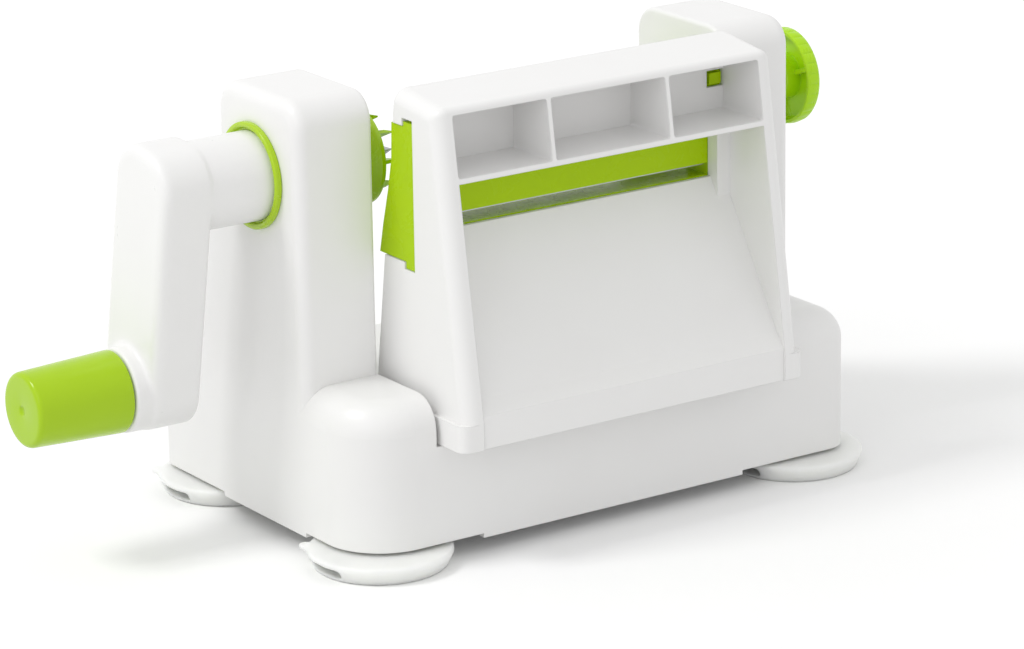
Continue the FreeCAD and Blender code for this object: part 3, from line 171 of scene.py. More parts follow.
def lathe(outline, centre=(0.0, 0.0, 0.0), steps=96, along="x", ripple=None):
    """A bmesh turned from (along, out) points in mm. ripple gives how far a point is moved
    out, from its angle and its place along the axis."""
    mesh = bmesh.new()
    rings = []
    for place, out in outline:
        if out < ON_AXIS:
            angles, out = [0.0], 0.0
        else:
            angles = [2 * math.pi * step / steps for step in range(steps)]
        ring = []
        for angle in angles:
            radius = out + (ripple(angle, place) if ripple and out else 0.0)
            across, up = radius * math.cos(angle), radius * math.sin(angle)
            point = (place, across, up) if along == "x" else (across, up, place)
            ring.append(mesh.verts.new(Vector(point) * MM + Vector(centre)))
        rings.append(ring)
    for low, high in zip(rings, rings[1:]):
        for step in range(steps):
            corners = []
            for vert in (low[step % len(low)], low[(step + 1) % steps % len(low)],
                         high[(step + 1) % steps % len(high)], high[step % len(high)]):
                if vert not in corners:
                    corners.append(vert)
            if len(corners) > 2:
                mesh.faces.new(corners)
    bmesh.ops.recalc_face_normals(mesh, faces=mesh.faces)
    return mesh


def block(low, high):
    """A bmesh box between two corners in mm."""
    mesh = bmesh.new()
    bmesh.ops.create_cube(mesh, size=1.0)
    low, high = Vector(low), Vector(high)
    for vert in mesh.verts:
        vert.co = Vector(a + (b - a) * (c + 0.5) for a, b, c in zip(low, high, vert.co)) * MM
    return mesh


def as_object(name, mesh, sharp=CRISP):
    """A smooth shaded object from a bmesh; edges sharper than that many degrees stay crisp."""
    data = bpy.data.meshes.new(name)
    mesh.to_mesh(data)
    mesh.free()
    for face in data.polygons:
        face.use_smooth = True
    data.set_sharp_from_angle(angle=math.radians(sharp))
    obj = bpy.data.objects.new(name, data)
    bpy.context.collection.objects.link(obj)
    return obj


def applied(obj, sharp=CRISP):
    """The object with its modifiers turned into plain mesh."""
    bpy.context.view_layer.update()
    view = bpy.context.evaluated_depsgraph_get()
    data = bpy.data.meshes.new_from_object(obj.evaluated_get(view))
    obj.modifiers.clear()
    old, obj.data = obj.data, data
    bpy.data.meshes.remove(old)
    for face in data.polygons:
        face.use_smooth = True
    data.set_sharp_from_angle(angle=math.radians(sharp))
    return obj


def carved(obj, cutter):
    """The object with another one cut out of it."""
    tool = as_object("cutter", cutter)
    cut = obj.modifiers.new("cut", "BOOLEAN")
    cut.operation, cut.solver, cut.object = "DIFFERENCE", "EXACT", tool
    applied(obj)
    bpy.data.objects.remove(tool)
    return obj


def laid_out(name, tree, values, source):
    """The source's mesh laid out by a geometry nodes tree, as plain mesh."""
    source.name = name
    modifier = source.modifiers.new("layout", "NODES")
    modifier.node_group = tree
    for item in tree.interface.items_tree:
        if item.in_out == "INPUT" and item.name in values:
            modifier[item.identifier] = values[item.name]
    return applied(source)


def new_tree(name, inputs):
    """A geometry nodes tree with a geometry socket each way and named inputs."""
    tree = bpy.data.node_groups.new(name, "GeometryNodeTree")
    tree.interface.new_socket("Geometry", in_out="INPUT", socket_type="NodeSocketGeometry")
    for label, kind in inputs.items():
        tree.interface.new_socket(label, in_out="INPUT", socket_type=kind)
    tree.interface.new_socket("Geometry", in_out="OUTPUT", socket_type="NodeSocketGeometry")
    return tree, add(tree, "NodeGroupInput").outputs


def end_tree(tree, geometry, material):
    """Real meshes with their material as the tree's result."""
    real = add(tree, "GeometryNodeRealizeInstances", {"Geometry": geometry})
    painted = add(tree, "GeometryNodeSetMaterial", {
        "Geometry": real.outputs[0], "Material": material})
    add(tree, "NodeGroupOutput", {0: painted.outputs[0]})


# Rows of screws: a grid of points, each with the screw turned by chance, as a driver
# leaves them.
rows_of_screws, given = new_tree("rows_of_screws", {
    "Centre": "NodeSocketVector", "Length": "NodeSocketFloat", "Width": "NodeSocketFloat",
    "Count": "NodeSocketInt", "Rows": "NodeSocketInt", "Seed": "NodeSocketInt",
    "Material": "NodeSocketMaterial"})
grid = add(rows_of_screws, "GeometryNodeMeshGrid", {
    "Size X": given["Length"], "Size Y": given["Width"], "Vertices X": given["Count"],
    "Vertices Y": given["Rows"]})
moved = add(rows_of_screws, "GeometryNodeSetPosition", {"Geometry": grid.outputs[0],
                                                        "Offset": given["Centre"]})
turn = add(rows_of_screws, "FunctionNodeRandomValue", {2: 0.0, 3: math.pi, "Seed": given["Seed"]},
           data_type="FLOAT")
turned = add(rows_of_screws, "ShaderNodeCombineXYZ", {"Z": turn.outputs[1]})
screws = add(rows_of_screws, "GeometryNodeInstanceOnPoints", {
    "Points": moved.outputs[0], "Instance": given["Geometry"], "Rotation": turned.outputs[0]})
end_tree(rows_of_screws, screws.outputs[0], given["Material"])


def plated_steel(name, colour, roughness, grain, relief):
    """Steel with a fine random surface: plating, or a turned or tumbled finish."""
    material = bpy.data.materials.new(name)
    material.use_nodes = True
    tree = material.node_tree
    tree.nodes.clear()
    place = add(tree, "ShaderNodeTexCoord").outputs["Object"]
    cloud = add(tree, "ShaderNodeTexNoise", {"Vector": place, "Scale": 1 / (STEEL_CLOUD * MM),
                                             "Detail": 4.0})
    tone = add(tree, "ShaderNodeMix", {
        0: cloud.outputs[0], 6: linear(colour), 7: linear(STEEL_SHADE)}, data_type="RGBA")
    fine = add(tree, "ShaderNodeTexNoise", {"Vector": place, "Scale": 1 / (grain * MM),
                                            "Detail": 3.0})
    gloss = add(tree, "ShaderNodeMapRange", {0: fine.outputs[0], **NOISE_SPAN,
                                             3: roughness + STEEL_GLOSS[0],
                                             4: roughness + STEEL_GLOSS[1]})
    edge = add(tree, "ShaderNodeBevel", {"Radius": STEEL_EDGE * MM}, samples=4)
    bump = add(tree, "ShaderNodeBump", {"Strength": 1.0, "Distance": relief * MM,
                                        "Height": fine.outputs[0], "Normal": edge.outputs[0]})
    shader = add(tree, "ShaderNodeBsdfPrincipled", {
        "Base Color": tone.outputs[2], "Metallic": 1.0, "Roughness": gloss.outputs[0],
        "Normal": bump.outputs[0]})
    add(tree, "ShaderNodeOutputMaterial", {"Surface": shader.outputs[0]})
    return material


def cross_recess(reach, width, top, depth):
    """The two crossed slots of a screw's recess as a cutter, along Z."""
    both = block((-reach, -width, top - depth), (reach, width, top + depth))
    other = block((-width, -reach, top - depth), (width, reach, top + depth))
    data = bpy.data.meshes.new("slot")
    other.to_mesh(data)
    both.from_mesh(data)
    bpy.data.meshes.remove(data)
    other.free()
    return both


# Zinc plating on steel: a light grey with a cloudy, slightly rough shine.
zinc_steel = plated_steel("steel_zinc_plated", "#B9BCC0", roughness=0.34, grain=0.5, relief=0.012)
low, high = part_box("cover_screws")
head, point = low.z / MM, high.z / MM
screw_outline = eased([
    (head, 0.0), (head, SCREW_HEAD - SCREW_HEAD_HEIGHT / 2),
    (head + SCREW_HEAD_HEIGHT / 2, SCREW_HEAD), (head + SCREW_HEAD_HEIGHT, SCREW_HEAD),
    (head + SCREW_HEAD_HEIGHT, SCREW_SHANK), (point - SCREW_POINT, SCREW_SHANK), (point, 0.0)],
    SCREW_ROUND, steps=3)
cover_screw = as_object("cover_screw", lathe(screw_outline, steps=SCREW_STEPS, along="z"))
carved(cover_screw, cross_recess(*PAN_RECESS, head, RECESS_DEPTH))
middle = (low + high) / 2
cover_screws = laid_out("cover_screw_set", rows_of_screws, {
    "Centre": (middle.x, middle.y, 0.0), "Length": high.x - low.x - 2 * SCREW_HEAD * MM,
    "Width": high.y - low.y - 2 * SCREW_HEAD * MM, "Count": 3, "Rows": 2, "Seed": SEED,
    "Material": zinc_steel}, cover_screw)
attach(cover_screws, "base")
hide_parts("cover_screws")

# Suction feet: four cups moulded in soft clear silicone that looks milky white, each with
# a pull tab. A stem and button on its back are pushed through the floor cover.
FOOT_VOXEL = 0.55
FOOT_SMOOTHING = 6
SILICONE_IOR = 1.41
LIGHT_DEPTH = 6.0
HAZE = 9.0
DUST = 1.2
DUST_RELIEF = 0.02
DUSTY_GLOSS = {3: 0.36, 4: 0.52}
MERGED_WITHIN = 0.001


def soft_silicone(name, colour, shade):
    """Milky silicone: light goes a few millimetres in, and the skin has a dull gloss."""
    material = bpy.data.materials.new(name)
    material.use_nodes = True
    tree = material.node_tree
    tree.nodes.clear()
    place = add(tree, "ShaderNodeTexCoord").outputs["Object"]
    haze = add(tree, "ShaderNodeTexNoise", {"Vector": place, "Scale": 1 / (HAZE * MM),
                                            "Detail": 3.0})
    tone = add(tree, "ShaderNodeMix", {0: haze.outputs[0], 6: linear(colour), 7: linear(shade)},
               data_type="RGBA")
    dust = add(tree, "ShaderNodeTexNoise", {"Vector": place, "Scale": 1 / (DUST * MM),
                                            "Detail": 4.0})
    gloss = add(tree, "ShaderNodeMapRange", {0: dust.outputs[0], **NOISE_SPAN, **DUSTY_GLOSS})
    bump = add(tree, "ShaderNodeBump", {"Strength": 1.0, "Distance": DUST_RELIEF * MM,
                                        "Height": dust.outputs[0]})
    shader = add(tree, "ShaderNodeBsdfPrincipled", {
        "Base Color": tone.outputs[2], "Roughness": gloss.outputs[0], "IOR": SILICONE_IOR,
        "Normal": bump.outputs[0], "Subsurface Weight": 1.0,
        "Subsurface Scale": LIGHT_DEPTH * MM, "Subsurface Radius": (1.0, 1.0, 0.95)})
    add(tree, "ShaderNodeOutputMaterial", {"Surface": shader.outputs[0]})
    return material


def evened(name, node, voxel, smoothing, material):
    """A CAD node's shape as an even mesh with its edges and seams melted together."""
    mesh = bmesh.new()
    mesh.from_mesh(nodes[node].data)
    bmesh.ops.remove_doubles(mesh, verts=mesh.verts, dist=MERGED_WITHIN * MM)
    result = as_object(name, mesh)
    remesh = result.modifiers.new("even", "REMESH")
    remesh.mode, remesh.voxel_size = "VOXEL", voxel * MM
    smooth = result.modifiers.new("soften", "SMOOTH")
    smooth.factor, smooth.iterations = 0.5, smoothing
    applied(result, sharp=180)
    result.data.materials.clear()
    result.data.materials.append(material)
    return result


# Unpigmented silicone: pale and cloudy, brighter at thin edges because light passes in.
silicone = soft_silicone("silicone_milky", "#F5F6F2", "#EEF0EB")
for corner in ("front_left", "front_right", "rear_left", "rear_right"):
    foot = evened("suction_foot_" + corner, "foot_" + corner, FOOT_VOXEL, FOOT_SMOOTHING, silicone)
    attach(foot, "base")
    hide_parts("foot_" + corner)

# Drive bush: a green ABS bush pressed into the crank tower. Its rounded lip shows round
# the hub of the crank, with a shallow recess next to the hub. It carries the shaft too.
LIME = "#AFD200"
LIME_SHADE = "#A8CC00"
BUSH_STEPS = 160
RING_PROUD = 2.4
RING_RECESS = 1.5
RECESS_WIDE = 0.9
RECESS_SLOPE = 0.2
LIP_ROUND = 0.9
HUB_SEAT = 15.58
HUB_SEAT_LENGTH = 18.3
SHAFT_SEAT = 6.08
BARREL = 17.0
NOSE = 10.0
NOSE_LENGTH = 3.2
low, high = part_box("drive_bush")
shaft_low, shaft_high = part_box("drive_shaft")
AXIS = Vector((0.0, (shaft_low.y + shaft_high.y) / 2, (shaft_low.z + shaft_high.z) / 2))
face, nose = low.x / MM, high.x / MM
ring = (high.z - low.z) / 2 / MM
tower_face = face + RING_PROUD
seat_end = tower_face + HUB_SEAT_LENGTH
barrel_end = nose - NOSE_LENGTH
recess_edge = HUB_SEAT + RECESS_WIDE
bush_outline = eased([
    (face + RING_RECESS, HUB_SEAT), (face + RING_RECESS, recess_edge - RECESS_SLOPE),
    (face, recess_edge + RECESS_SLOPE), (face, ring), (tower_face, ring), (tower_face, BARREL)],
    LIP_ROUND, steps=6)
bush_outline += [(barrel_end, BARREL), (barrel_end, NOSE), (nose, NOSE), (nose, SHAFT_SEAT),
                 (seat_end, SHAFT_SEAT), (seat_end, HUB_SEAT), bush_outline[0]]
bush = as_object("lipped_drive_bush", lathe(bush_outline, AXIS, BUSH_STEPS))
# Lime pigmented ABS: a strong yellow green with a soft gloss.
lime_abs = moulded_plastic("lime_abs_moulded", LIME, LIME_SHADE, roughness=0.24, soft=0.15,
                           shine=0.5)
bush.data.materials.append(lime_abs)
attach(bush, "base")
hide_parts("drive_bush")

# Crank arm: one white ABS moulding with its hub and the short neck of the grip. The hub
# turns in the green bush. Hub and neck run into the arm with soft inner corners.
ARM_VOXEL = 0.6
ARM_SMOOTHING = 12
# The same white ABS with a slightly brighter polish, because hands rub it.
arm_abs = moulded_plastic("white_abs_arm", WHITE_ABS, WHITE_ABS_SHADE, roughness=0.32, soft=0.0)
arm = evened("crank_arm_moulding", "crank_arm", ARM_VOXEL, ARM_SMOOTHING, arm_abs)
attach(arm, "crank")
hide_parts("crank_arm")

# Drive shaft: a white acetal rod pressed into the hub. The two thrust washers and the
# pin that the grip turns on are made of the same.
# Acetal: a greyer white than the ABS, with a fine waviness from turning that dulls it.
acetal = moulded_plastic("acetal_turned", "#E9EAE6", "#E2E4DF", roughness=0.4, wave=2.5,
                         relief=0.02)
for node in ("drive_shaft", "drive_washer", "tail_washer", "grip_pin"):
    dress(node, acetal)

# Drive chuck: a green ABS disc with a dished face and a ring of pointed teeth that hold
# what is sliced, moulded in one. It sits on the end of the drive shaft.
TEETH = 8
TOOTH_INNER = 0.5
TOOTH_OUTER = 0.835
TOOTH_THICK = 1.6
TOOTH_HEIGHT = 7.5
TOOTH_ROOT = 0.6
TOOTH_HOLLOW = 0.8
TOOTH_LEAN = 0.5
TOOTH_DRAFT = 0.15
TIP_INNER = 2.0
TIP_OUTER = 1.5
CHUCK_BACK = 11.0
CHUCK_CHAMFER = (2.8, 1.0)
CHUCK_EDGE = 1.6
CHUCK_DISH = 2.2
CHUCK_SLOPE = 3.2
CHUCK_ROUND = 0.5
SEAT_DEPTH = 2.2
CHUCK_STEPS = 96

# Copies in a ring about the spindle's axis: the teeth here and the webs in the knob.
ring_of, given = new_tree("ring_round_x_axis", {
    "Centre": "NodeSocketVector", "Count": "NodeSocketInt", "First Turn": "NodeSocketFloat",
    "Material": "NodeSocketMaterial"})
points = add(ring_of, "GeometryNodePoints", {"Count": given["Count"], "Position": given["Centre"]})
place = add(ring_of, "GeometryNodeInputIndex")
share = add(ring_of, "ShaderNodeMath", {0: place.outputs[0], 1: given["Count"]}, operation="DIVIDE")
turn = add(ring_of, "ShaderNodeMath", {0: share.outputs[0], 1: 2 * math.pi, 2: given["First Turn"]},
           operation="MULTIPLY_ADD")
about_x = add(ring_of, "ShaderNodeCombineXYZ", {"X": turn.outputs[0]})
copies = add(ring_of, "GeometryNodeInstanceOnPoints", {
    "Points": points.outputs[0], "Instance": given["Geometry"], "Rotation": about_x.outputs[0]})
end_tree(ring_of, copies.outputs[0], given["Material"])


def joined(name, *objects):
    """One object from several that ride together, with the first one's material."""
    mesh = bmesh.new()
    material = objects[0].data.materials[0]
    for obj in objects:
        mesh.from_mesh(obj.data)
    for face in mesh.faces:
        face.material_index = 0
    result = as_object(name, mesh)
    result.data.materials.append(material)
    for obj in objects:
        bpy.data.objects.remove(obj)
    return result


def tooth(root, tip, inner, outer, thick):
    """One pointed tooth as a bmesh, tapered to a blunt edge. It stands on the disc at
    root and points along X. inner and outer are its reach from the axis."""
    mesh = bmesh.new()
    waist = (inner + 2 * outer) / 3 - TOOTH_HOLLOW
    sections = (
        (root, inner, outer, thick / 2),
        ((root + 2 * tip) / 3, waist, outer - TOOTH_LEAN, thick / 2 - TOOTH_DRAFT),
        (tip, outer - TIP_INNER, outer - TIP_OUTER, thick / 6))
    rings = []
    for along, near_axis, far, half in sections:
        corners = ((-half, near_axis), (half, near_axis), (half, far), (-half, far))
        rings.append([mesh.verts.new(Vector((along, *corner)) * MM) for corner in corners])
    for low_ring, high_ring in zip(rings, rings[1:]):
        for step in range(4):
            mesh.faces.new((low_ring[step], low_ring[(step + 1) % 4],
                            high_ring[(step + 1) % 4], high_ring[step]))
    mesh.faces.new(rings[0])
    mesh.faces.new(rings[-1])
    bmesh.ops.recalc_face_normals(mesh, faces=mesh.faces)
    return mesh


def toothed_chuck(name, node, facing, bore, seat, first_turn):
    """The disc and its teeth; facing is the side that the teeth point to, and seat the
    radius of the sunk seat for a screw's head, or the bore's own where there is none."""
    low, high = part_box(node)
    back, tip = (low.x, high.x) if facing > 0 else (high.x, low.x)
    back, tip = back / MM, tip / MM
    radius = (high.z - low.z) / 2 / MM
    face = tip - facing * TOOTH_HEIGHT
    floor = face - facing * CHUCK_DISH
    sunk = floor - facing * SEAT_DEPTH
    outline = eased([
        (back, bore), (back, CHUCK_BACK),
        (face - facing * CHUCK_CHAMFER[0], radius - CHUCK_CHAMFER[1]),
        (face - facing * CHUCK_EDGE, radius), (face, radius), (face, radius - CHUCK_EDGE),
        (floor, radius - CHUCK_SLOPE), (floor, seat)], CHUCK_ROUND, steps=4)
    outline += [(floor, bore)] if seat == bore else [(sunk, seat), (sunk, bore)]
    outline.append(outline[0])
    disc = as_object(name + "_disc", lathe(outline, AXIS, CHUCK_STEPS))
    disc.data.materials.append(lime_abs)
    prong = as_object(name + "_tooth", tooth(
        floor - facing * TOOTH_ROOT, tip, TOOTH_INNER * radius, TOOTH_OUTER * radius, TOOTH_THICK))
    prongs = laid_out(name + "_teeth", ring_of, {
        "Centre": AXIS, "Count": TEETH, "First Turn": first_turn, "Material": lime_abs}, prong)
    chuck = joined(name, disc, prongs)
    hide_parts(node)
    return chuck


drive_chuck = toothed_chuck(
    "toothed_drive_chuck", "drive_chuck", facing=1, bore=6.0, seat=6.0, first_turn=0.0)
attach(drive_chuck, "crank")

# Centre spike: turned from stainless steel and screwed into the shaft's end. It reaches
# past the teeth, so that it goes in first and centres the load.
# Turned stainless steel: bright, with a fine uneven surface that spreads the shine.
spike_steel = plated_steel("stainless_turned", "#C9CBCE", roughness=0.24, grain=0.35, relief=0.01)
dress("drive_spike", spike_steel)

# Handle grip: a tapered moulding in lime coloured polypropylene. It turns on the pin and
# has a small dimple in its end where it was filled.
GRIP_TAPER = 1.4
GRIP_END_ROUND = 2.2
SHOULDER = 8.0
SHOULDER_DROP = 0.3
SHOULDER_ROUND = 0.9
DIMPLE = ((0.8, 0.0), (0.75, 0.9), (0.45, 1.3), (0.1, 1.7))
DIMPLE_EDGE = 2.2
GRIP_MOUTH = 4.2
MOUTH_FLOOR = 4.1
MOUTH_DEPTH = 3.0
GRIP_STEPS = 128
low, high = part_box("handle_grip")
grip_centre = Vector((0.0, (low.y + high.y) / 2, (low.z + high.z) / 2))
outer, inner = low.x / MM, high.x / MM
large = (high.z - low.z) / 2 / MM
small = large - GRIP_TAPER
dimple_edge = (outer, DIMPLE_EDGE)
shoulder = (inner - SHOULDER, large - SHOULDER_DROP)
grip_outline = (
    [(outer + depth, reach) for depth, reach in DIMPLE] + [dimple_edge]
    + eased([dimple_edge, (outer, small), shoulder], GRIP_END_ROUND, steps=8)[1:]
    + eased([shoulder, (inner, large), (inner, GRIP_MOUTH)], SHOULDER_ROUND, steps=6)[1:]
    + [(inner - MOUTH_DEPTH, MOUTH_FLOOR), (inner - MOUTH_DEPTH, 0.0)])
grip = as_object("tapered_grip", lathe(grip_outline, grip_centre, GRIP_STEPS), sharp=60)
# Glossy polypropylene: a warm yellow green that mirrors the bright room as a thin white
# veil, with long streaks of light along its top.
grip_plastic = moulded_plastic("lime_polypropylene_glossy", "#AACF00", "#A2C800", roughness=0.2,
                               wave=6.0, relief=0.01, soft=0.4, shine=0.36)
grip.data.materials.append(grip_plastic)
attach(grip, "grip")
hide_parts("handle_grip")

# Tail nut: a white acetal bush pressed through both walls of the other tower, with the
# thread that the spindle runs in.
dress("tail_nut", acetal)

# Tail spindle: a white acetal screw with a coarse rolled thread, a plain journal for the
# tail chuck and the knob on its outer end.
THREAD_ROOT = 5.0
THREAD_CREST = 5.95
THREAD_PITCH = 4.0
THREAD_FOOT = 0.62
THREAD_FLAT = 0.3
THREAD_STEPS = 48
THREAD_LEAD = 4.0
JOURNAL = 4.0
COLLAR = 2.5
COLLAR_SLOPE = 0.5
SPINDLE_ROUND = 0.4
SPINDLE_STEPS = 64
low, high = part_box("tail_spindle")
start, end = low.x / MM, high.x / MM
thread_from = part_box("tail_nut")[0].x / MM - THREAD_LEAD
thread_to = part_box("tail_knob")[0].x / MM

# The thread: a spiral with a flat topped section, laid along the spindle. Foot and flat
# are shares of the pitch.
helix, given = new_tree("screw_thread", {
    "Root": "NodeSocketFloat", "Depth": "NodeSocketFloat", "Pitch": "NodeSocketFloat",
    "Length": "NodeSocketFloat", "Start": "NodeSocketVector", "Material": "NodeSocketMaterial"})
turns = add(helix, "ShaderNodeMath", {0: given["Length"], 1: given["Pitch"]}, operation="DIVIDE")
coil = add(helix, "GeometryNodeCurveSpiral", {
    "Resolution": THREAD_STEPS, "Rotations": turns.outputs[0], "Start Radius": given["Root"],
    "End Radius": given["Root"], "Height": given["Length"]})
upright = add(helix, "GeometryNodeSetCurveNormal", {"Curve": coil.outputs[0]}, mode="Z_UP")
wide = add(helix, "ShaderNodeMath", {0: given["Pitch"], 1: THREAD_FOOT}, operation="MULTIPLY")
narrow = add(helix, "ShaderNodeMath", {0: given["Pitch"], 1: THREAD_FLAT}, operation="MULTIPLY")
deep = add(helix, "ShaderNodeMath", {0: given["Depth"], 1: 2.0}, operation="MULTIPLY")
section = add(helix, "GeometryNodeCurvePrimitiveQuadrilateral", {
    "Height": deep.outputs[0], "Bottom Width": wide.outputs[0], "Top Width": narrow.outputs[0],
    "Offset": 0.0}, mode="TRAPEZOID")
ridge = add(helix, "GeometryNodeCurveToMesh", {
    "Curve": upright.outputs[0], "Profile Curve": section.outputs[0], "Fill Caps": True})
level = add(helix, "GeometryNodeTransform", {
    "Geometry": ridge.outputs[0], "Translation": given["Start"],
    "Rotation": (0.0, math.pi / 2, 0.0)})
end_tree(helix, level.outputs[0], given["Material"])

thread = as_object("thread_seed", bmesh.new())
thread = laid_out("thread", helix, {
    "Root": THREAD_ROOT * MM, "Depth": (THREAD_CREST - THREAD_ROOT) * MM,
    "Pitch": THREAD_PITCH * MM, "Length": (thread_to - thread_from) * MM,
    "Start": AXIS + Vector((thread_from * MM, 0, 0)), "Material": acetal}, thread)
collar = thread_from - COLLAR
core_outline = eased([
    (start, 0.0), (start, JOURNAL), (collar, JOURNAL), (collar, THREAD_CREST),
    (thread_from - COLLAR_SLOPE, THREAD_CREST), (thread_from, THREAD_ROOT),
    (thread_to, THREAD_ROOT), (thread_to, THREAD_CREST), (end, THREAD_CREST), (end, 0.0)],
    SPINDLE_ROUND, steps=3)
core = as_object("core", lathe(core_outline, AXIS, SPINDLE_STEPS))
core.data.materials.append(acetal)
spindle = joined("threaded_spindle", core, thread)
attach(spindle, "tail_screw")
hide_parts("tail_spindle")

# Tail chuck: the smaller toothed disc that turns freely on the journal, kept by a screw
# whose head is sunk in its face.
tail_chuck = toothed_chuck(
    "toothed_tail_chuck", "tail_chuck", facing=-1, bore=4.1, seat=6.8, first_turn=math.pi / TEETH)
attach(tail_chuck, "tail_head")
dress("tail_chuck_screw", zinc_steel)

# Tail knob: a green ABS cap, hollow on the tower side, with a rounded rim of shallow
# ridges and three webs round a boss. One screw holds it to the spindle.
KNOB_RIDGES = 28
KNOB_STEPS = KNOB_RIDGES * 16
RIDGE_RELIEF = 0.35
RIDGE_FADE = 0.6
FADE_AT_MOUTH = 0.3
FADE_AT_END = 0.9
RIM_WIDE = 5.8
RIM_BOW = 0.02
RIM_STEP = 0.6
RIM_MOUTH = 0.5
KNOB_EDGE = ((0.3, 0.9), (0.0, 1.7))
KNOB_WALL = 1.5
KNOB_FLOOR = 2.4
FLOOR_COVE = ((3.2, 0.3), (2.4, 1.2))
SCREW_WELL = (7.0, 6.8)
WELL_DEPTH = 2.2
BOSS_ROOT = 8.6
BOSS_END = 7.8
BOSS_BORE = 6.0
BOSS_TOP = 1.0
BOSS_FLOOR = 1.5
BOSS_ROUND = 0.6
WEB_THICK = 1.8
WEB_BACK = 1.0
WEB_TOP = 1.2
WEB_FROM = 7.0
WEB_INTO_RIM = 0.2
WEB_ROUND = 0.3
WEB_FIRST_TURN = math.radians(71)
SHELL_GAP = 0.005
low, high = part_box("tail_knob")
radius = (high.z - low.z) / 2 / MM
end = high.x / MM
rim = end - RIM_WIDE
boss = low.x / MM


def ridge_relief(angle, place):
    """Rounded ridges across the rim, with narrow grooves that fade out at its edges."""
    wave = abs(math.sin(angle * KNOB_RIDGES / 2))
    fade = min(1.0, max(0.0, (place - rim - FADE_AT_MOUTH) / RIDGE_FADE),
               max(0.0, (end - FADE_AT_END - place) / RIDGE_FADE))
    return RIDGE_RELIEF * fade * (wave ** 0.5 - 1.0)


bowed_rim = [(rim + RIM_STEP * step, radius - RIM_BOW * (step - 4.0) ** 2) for step in range(1, 9)]
knob_outline = (
    [(rim, radius - KNOB_WALL), (rim, radius - RIM_MOUTH)] + bowed_rim
    + [(end - back, radius - inward) for back, inward in KNOB_EDGE]
    + [(end, SCREW_WELL[0]), (end - WELL_DEPTH, SCREW_WELL[1]), (end - WELL_DEPTH, 0.0)])
inside_outline = (
    [(rim, radius - KNOB_WALL)]
    + [(end - back, radius - KNOB_WALL - inward) for back, inward in FLOOR_COVE]
    + [(end - KNOB_FLOOR, 0.0)])
knob_body = lathe(knob_outline, AXIS, KNOB_STEPS, ripple=ridge_relief)
hollow = lathe(inside_outline, AXIS, KNOB_STEPS)
data = bpy.data.meshes.new("hollow")
hollow.to_mesh(data)
hollow.free()
knob_body.from_mesh(data)
bpy.data.meshes.remove(data)
bmesh.ops.remove_doubles(knob_body, verts=knob_body.verts, dist=SHELL_GAP * MM)
bmesh.ops.recalc_face_normals(knob_body, faces=knob_body.faces)
# The same lime ABS in a greener tone, lightened as painted light for the brightly lit rim, with a
# thin bright veil of gloss on the ridges.
knob_abs_painted_bright = moulded_plastic("lime_abs_knob_painted_bright", "#B4E40A", "#ACDE06", roughness=0.28, soft=0.2,
                           shine=0.36)
knob_shell = as_object("knob_shell", knob_body)
knob_shell.data.materials.append(knob_abs_painted_bright)
boss_outline = eased([
    (end - BOSS_TOP, 0.0), (end - BOSS_TOP, BOSS_ROOT), (boss, BOSS_END), (boss, BOSS_BORE),
    (end - BOSS_FLOOR, BOSS_BORE), (end - BOSS_FLOOR, 0.0)], BOSS_ROUND, steps=4)
knob_boss = as_object("knob_boss", lathe(boss_outline, AXIS))
knob_boss.data.materials.append(knob_abs_painted_bright)
web_block = block((rim + WEB_BACK, -WEB_THICK / 2, WEB_FROM),
                  (end - WEB_TOP, WEB_THICK / 2, radius - KNOB_WALL + WEB_INTO_RIM))
bmesh.ops.bevel(web_block, geom=web_block.edges[:], offset=WEB_ROUND * MM, segments=3,
                affect="EDGES")
web = as_object("knob_web", web_block)
webs = laid_out("knob_webs", ring_of, {
    "Centre": AXIS, "Count": 3, "First Turn": WEB_FIRST_TURN, "Material": knob_abs_painted_bright}, web)
knob = joined("ridged_knob", knob_shell, knob_boss, webs)
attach(knob, "tail_screw")
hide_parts("tail_knob")
dress("knob_screw", zinc_steel)

# Blade frame: one white ABS moulding with three finger pockets, an outlet slot, the ramp
# and a foot that hooks under the deck rails.
# The same white ABS with rounder edges, which catch a broader line of light.
frame_abs = moulded_plastic("white_abs_frame", WHITE_ABS, WHITE_ABS_SHADE, roughness=0.34, soft=0.5)
dress("blade_frame", frame_abs)

# Blade cassette: a lime ABS bar that slides into the frame from the left, with its end
# plate flush in the frame's side and a catch that snaps into the pocket's window.
# The same lime ABS with less gloss, so that it stays a full green in the white frame.
cassette_abs = moulded_plastic("lime_abs_cassette", LIME, LIME_SHADE, roughness=0.26, soft=0.3,
                               shine=0.15)
dress("blade_cassette", cassette_abs)

# Cutting blade: a strip of hardened stainless steel, ground along its length, with one
# bevel. It is screwed under the cassette's bar.
SCRATCH = 0.35
SCRATCH_LENGTH = 14.0
SCRATCH_RELIEF = 0.015
GROUND_STEEL = "#C4C7CA"
GROUND_SHADE = "#A9ADB1"
GROUND_GLOSS = {3: 0.2, 4: 0.38}
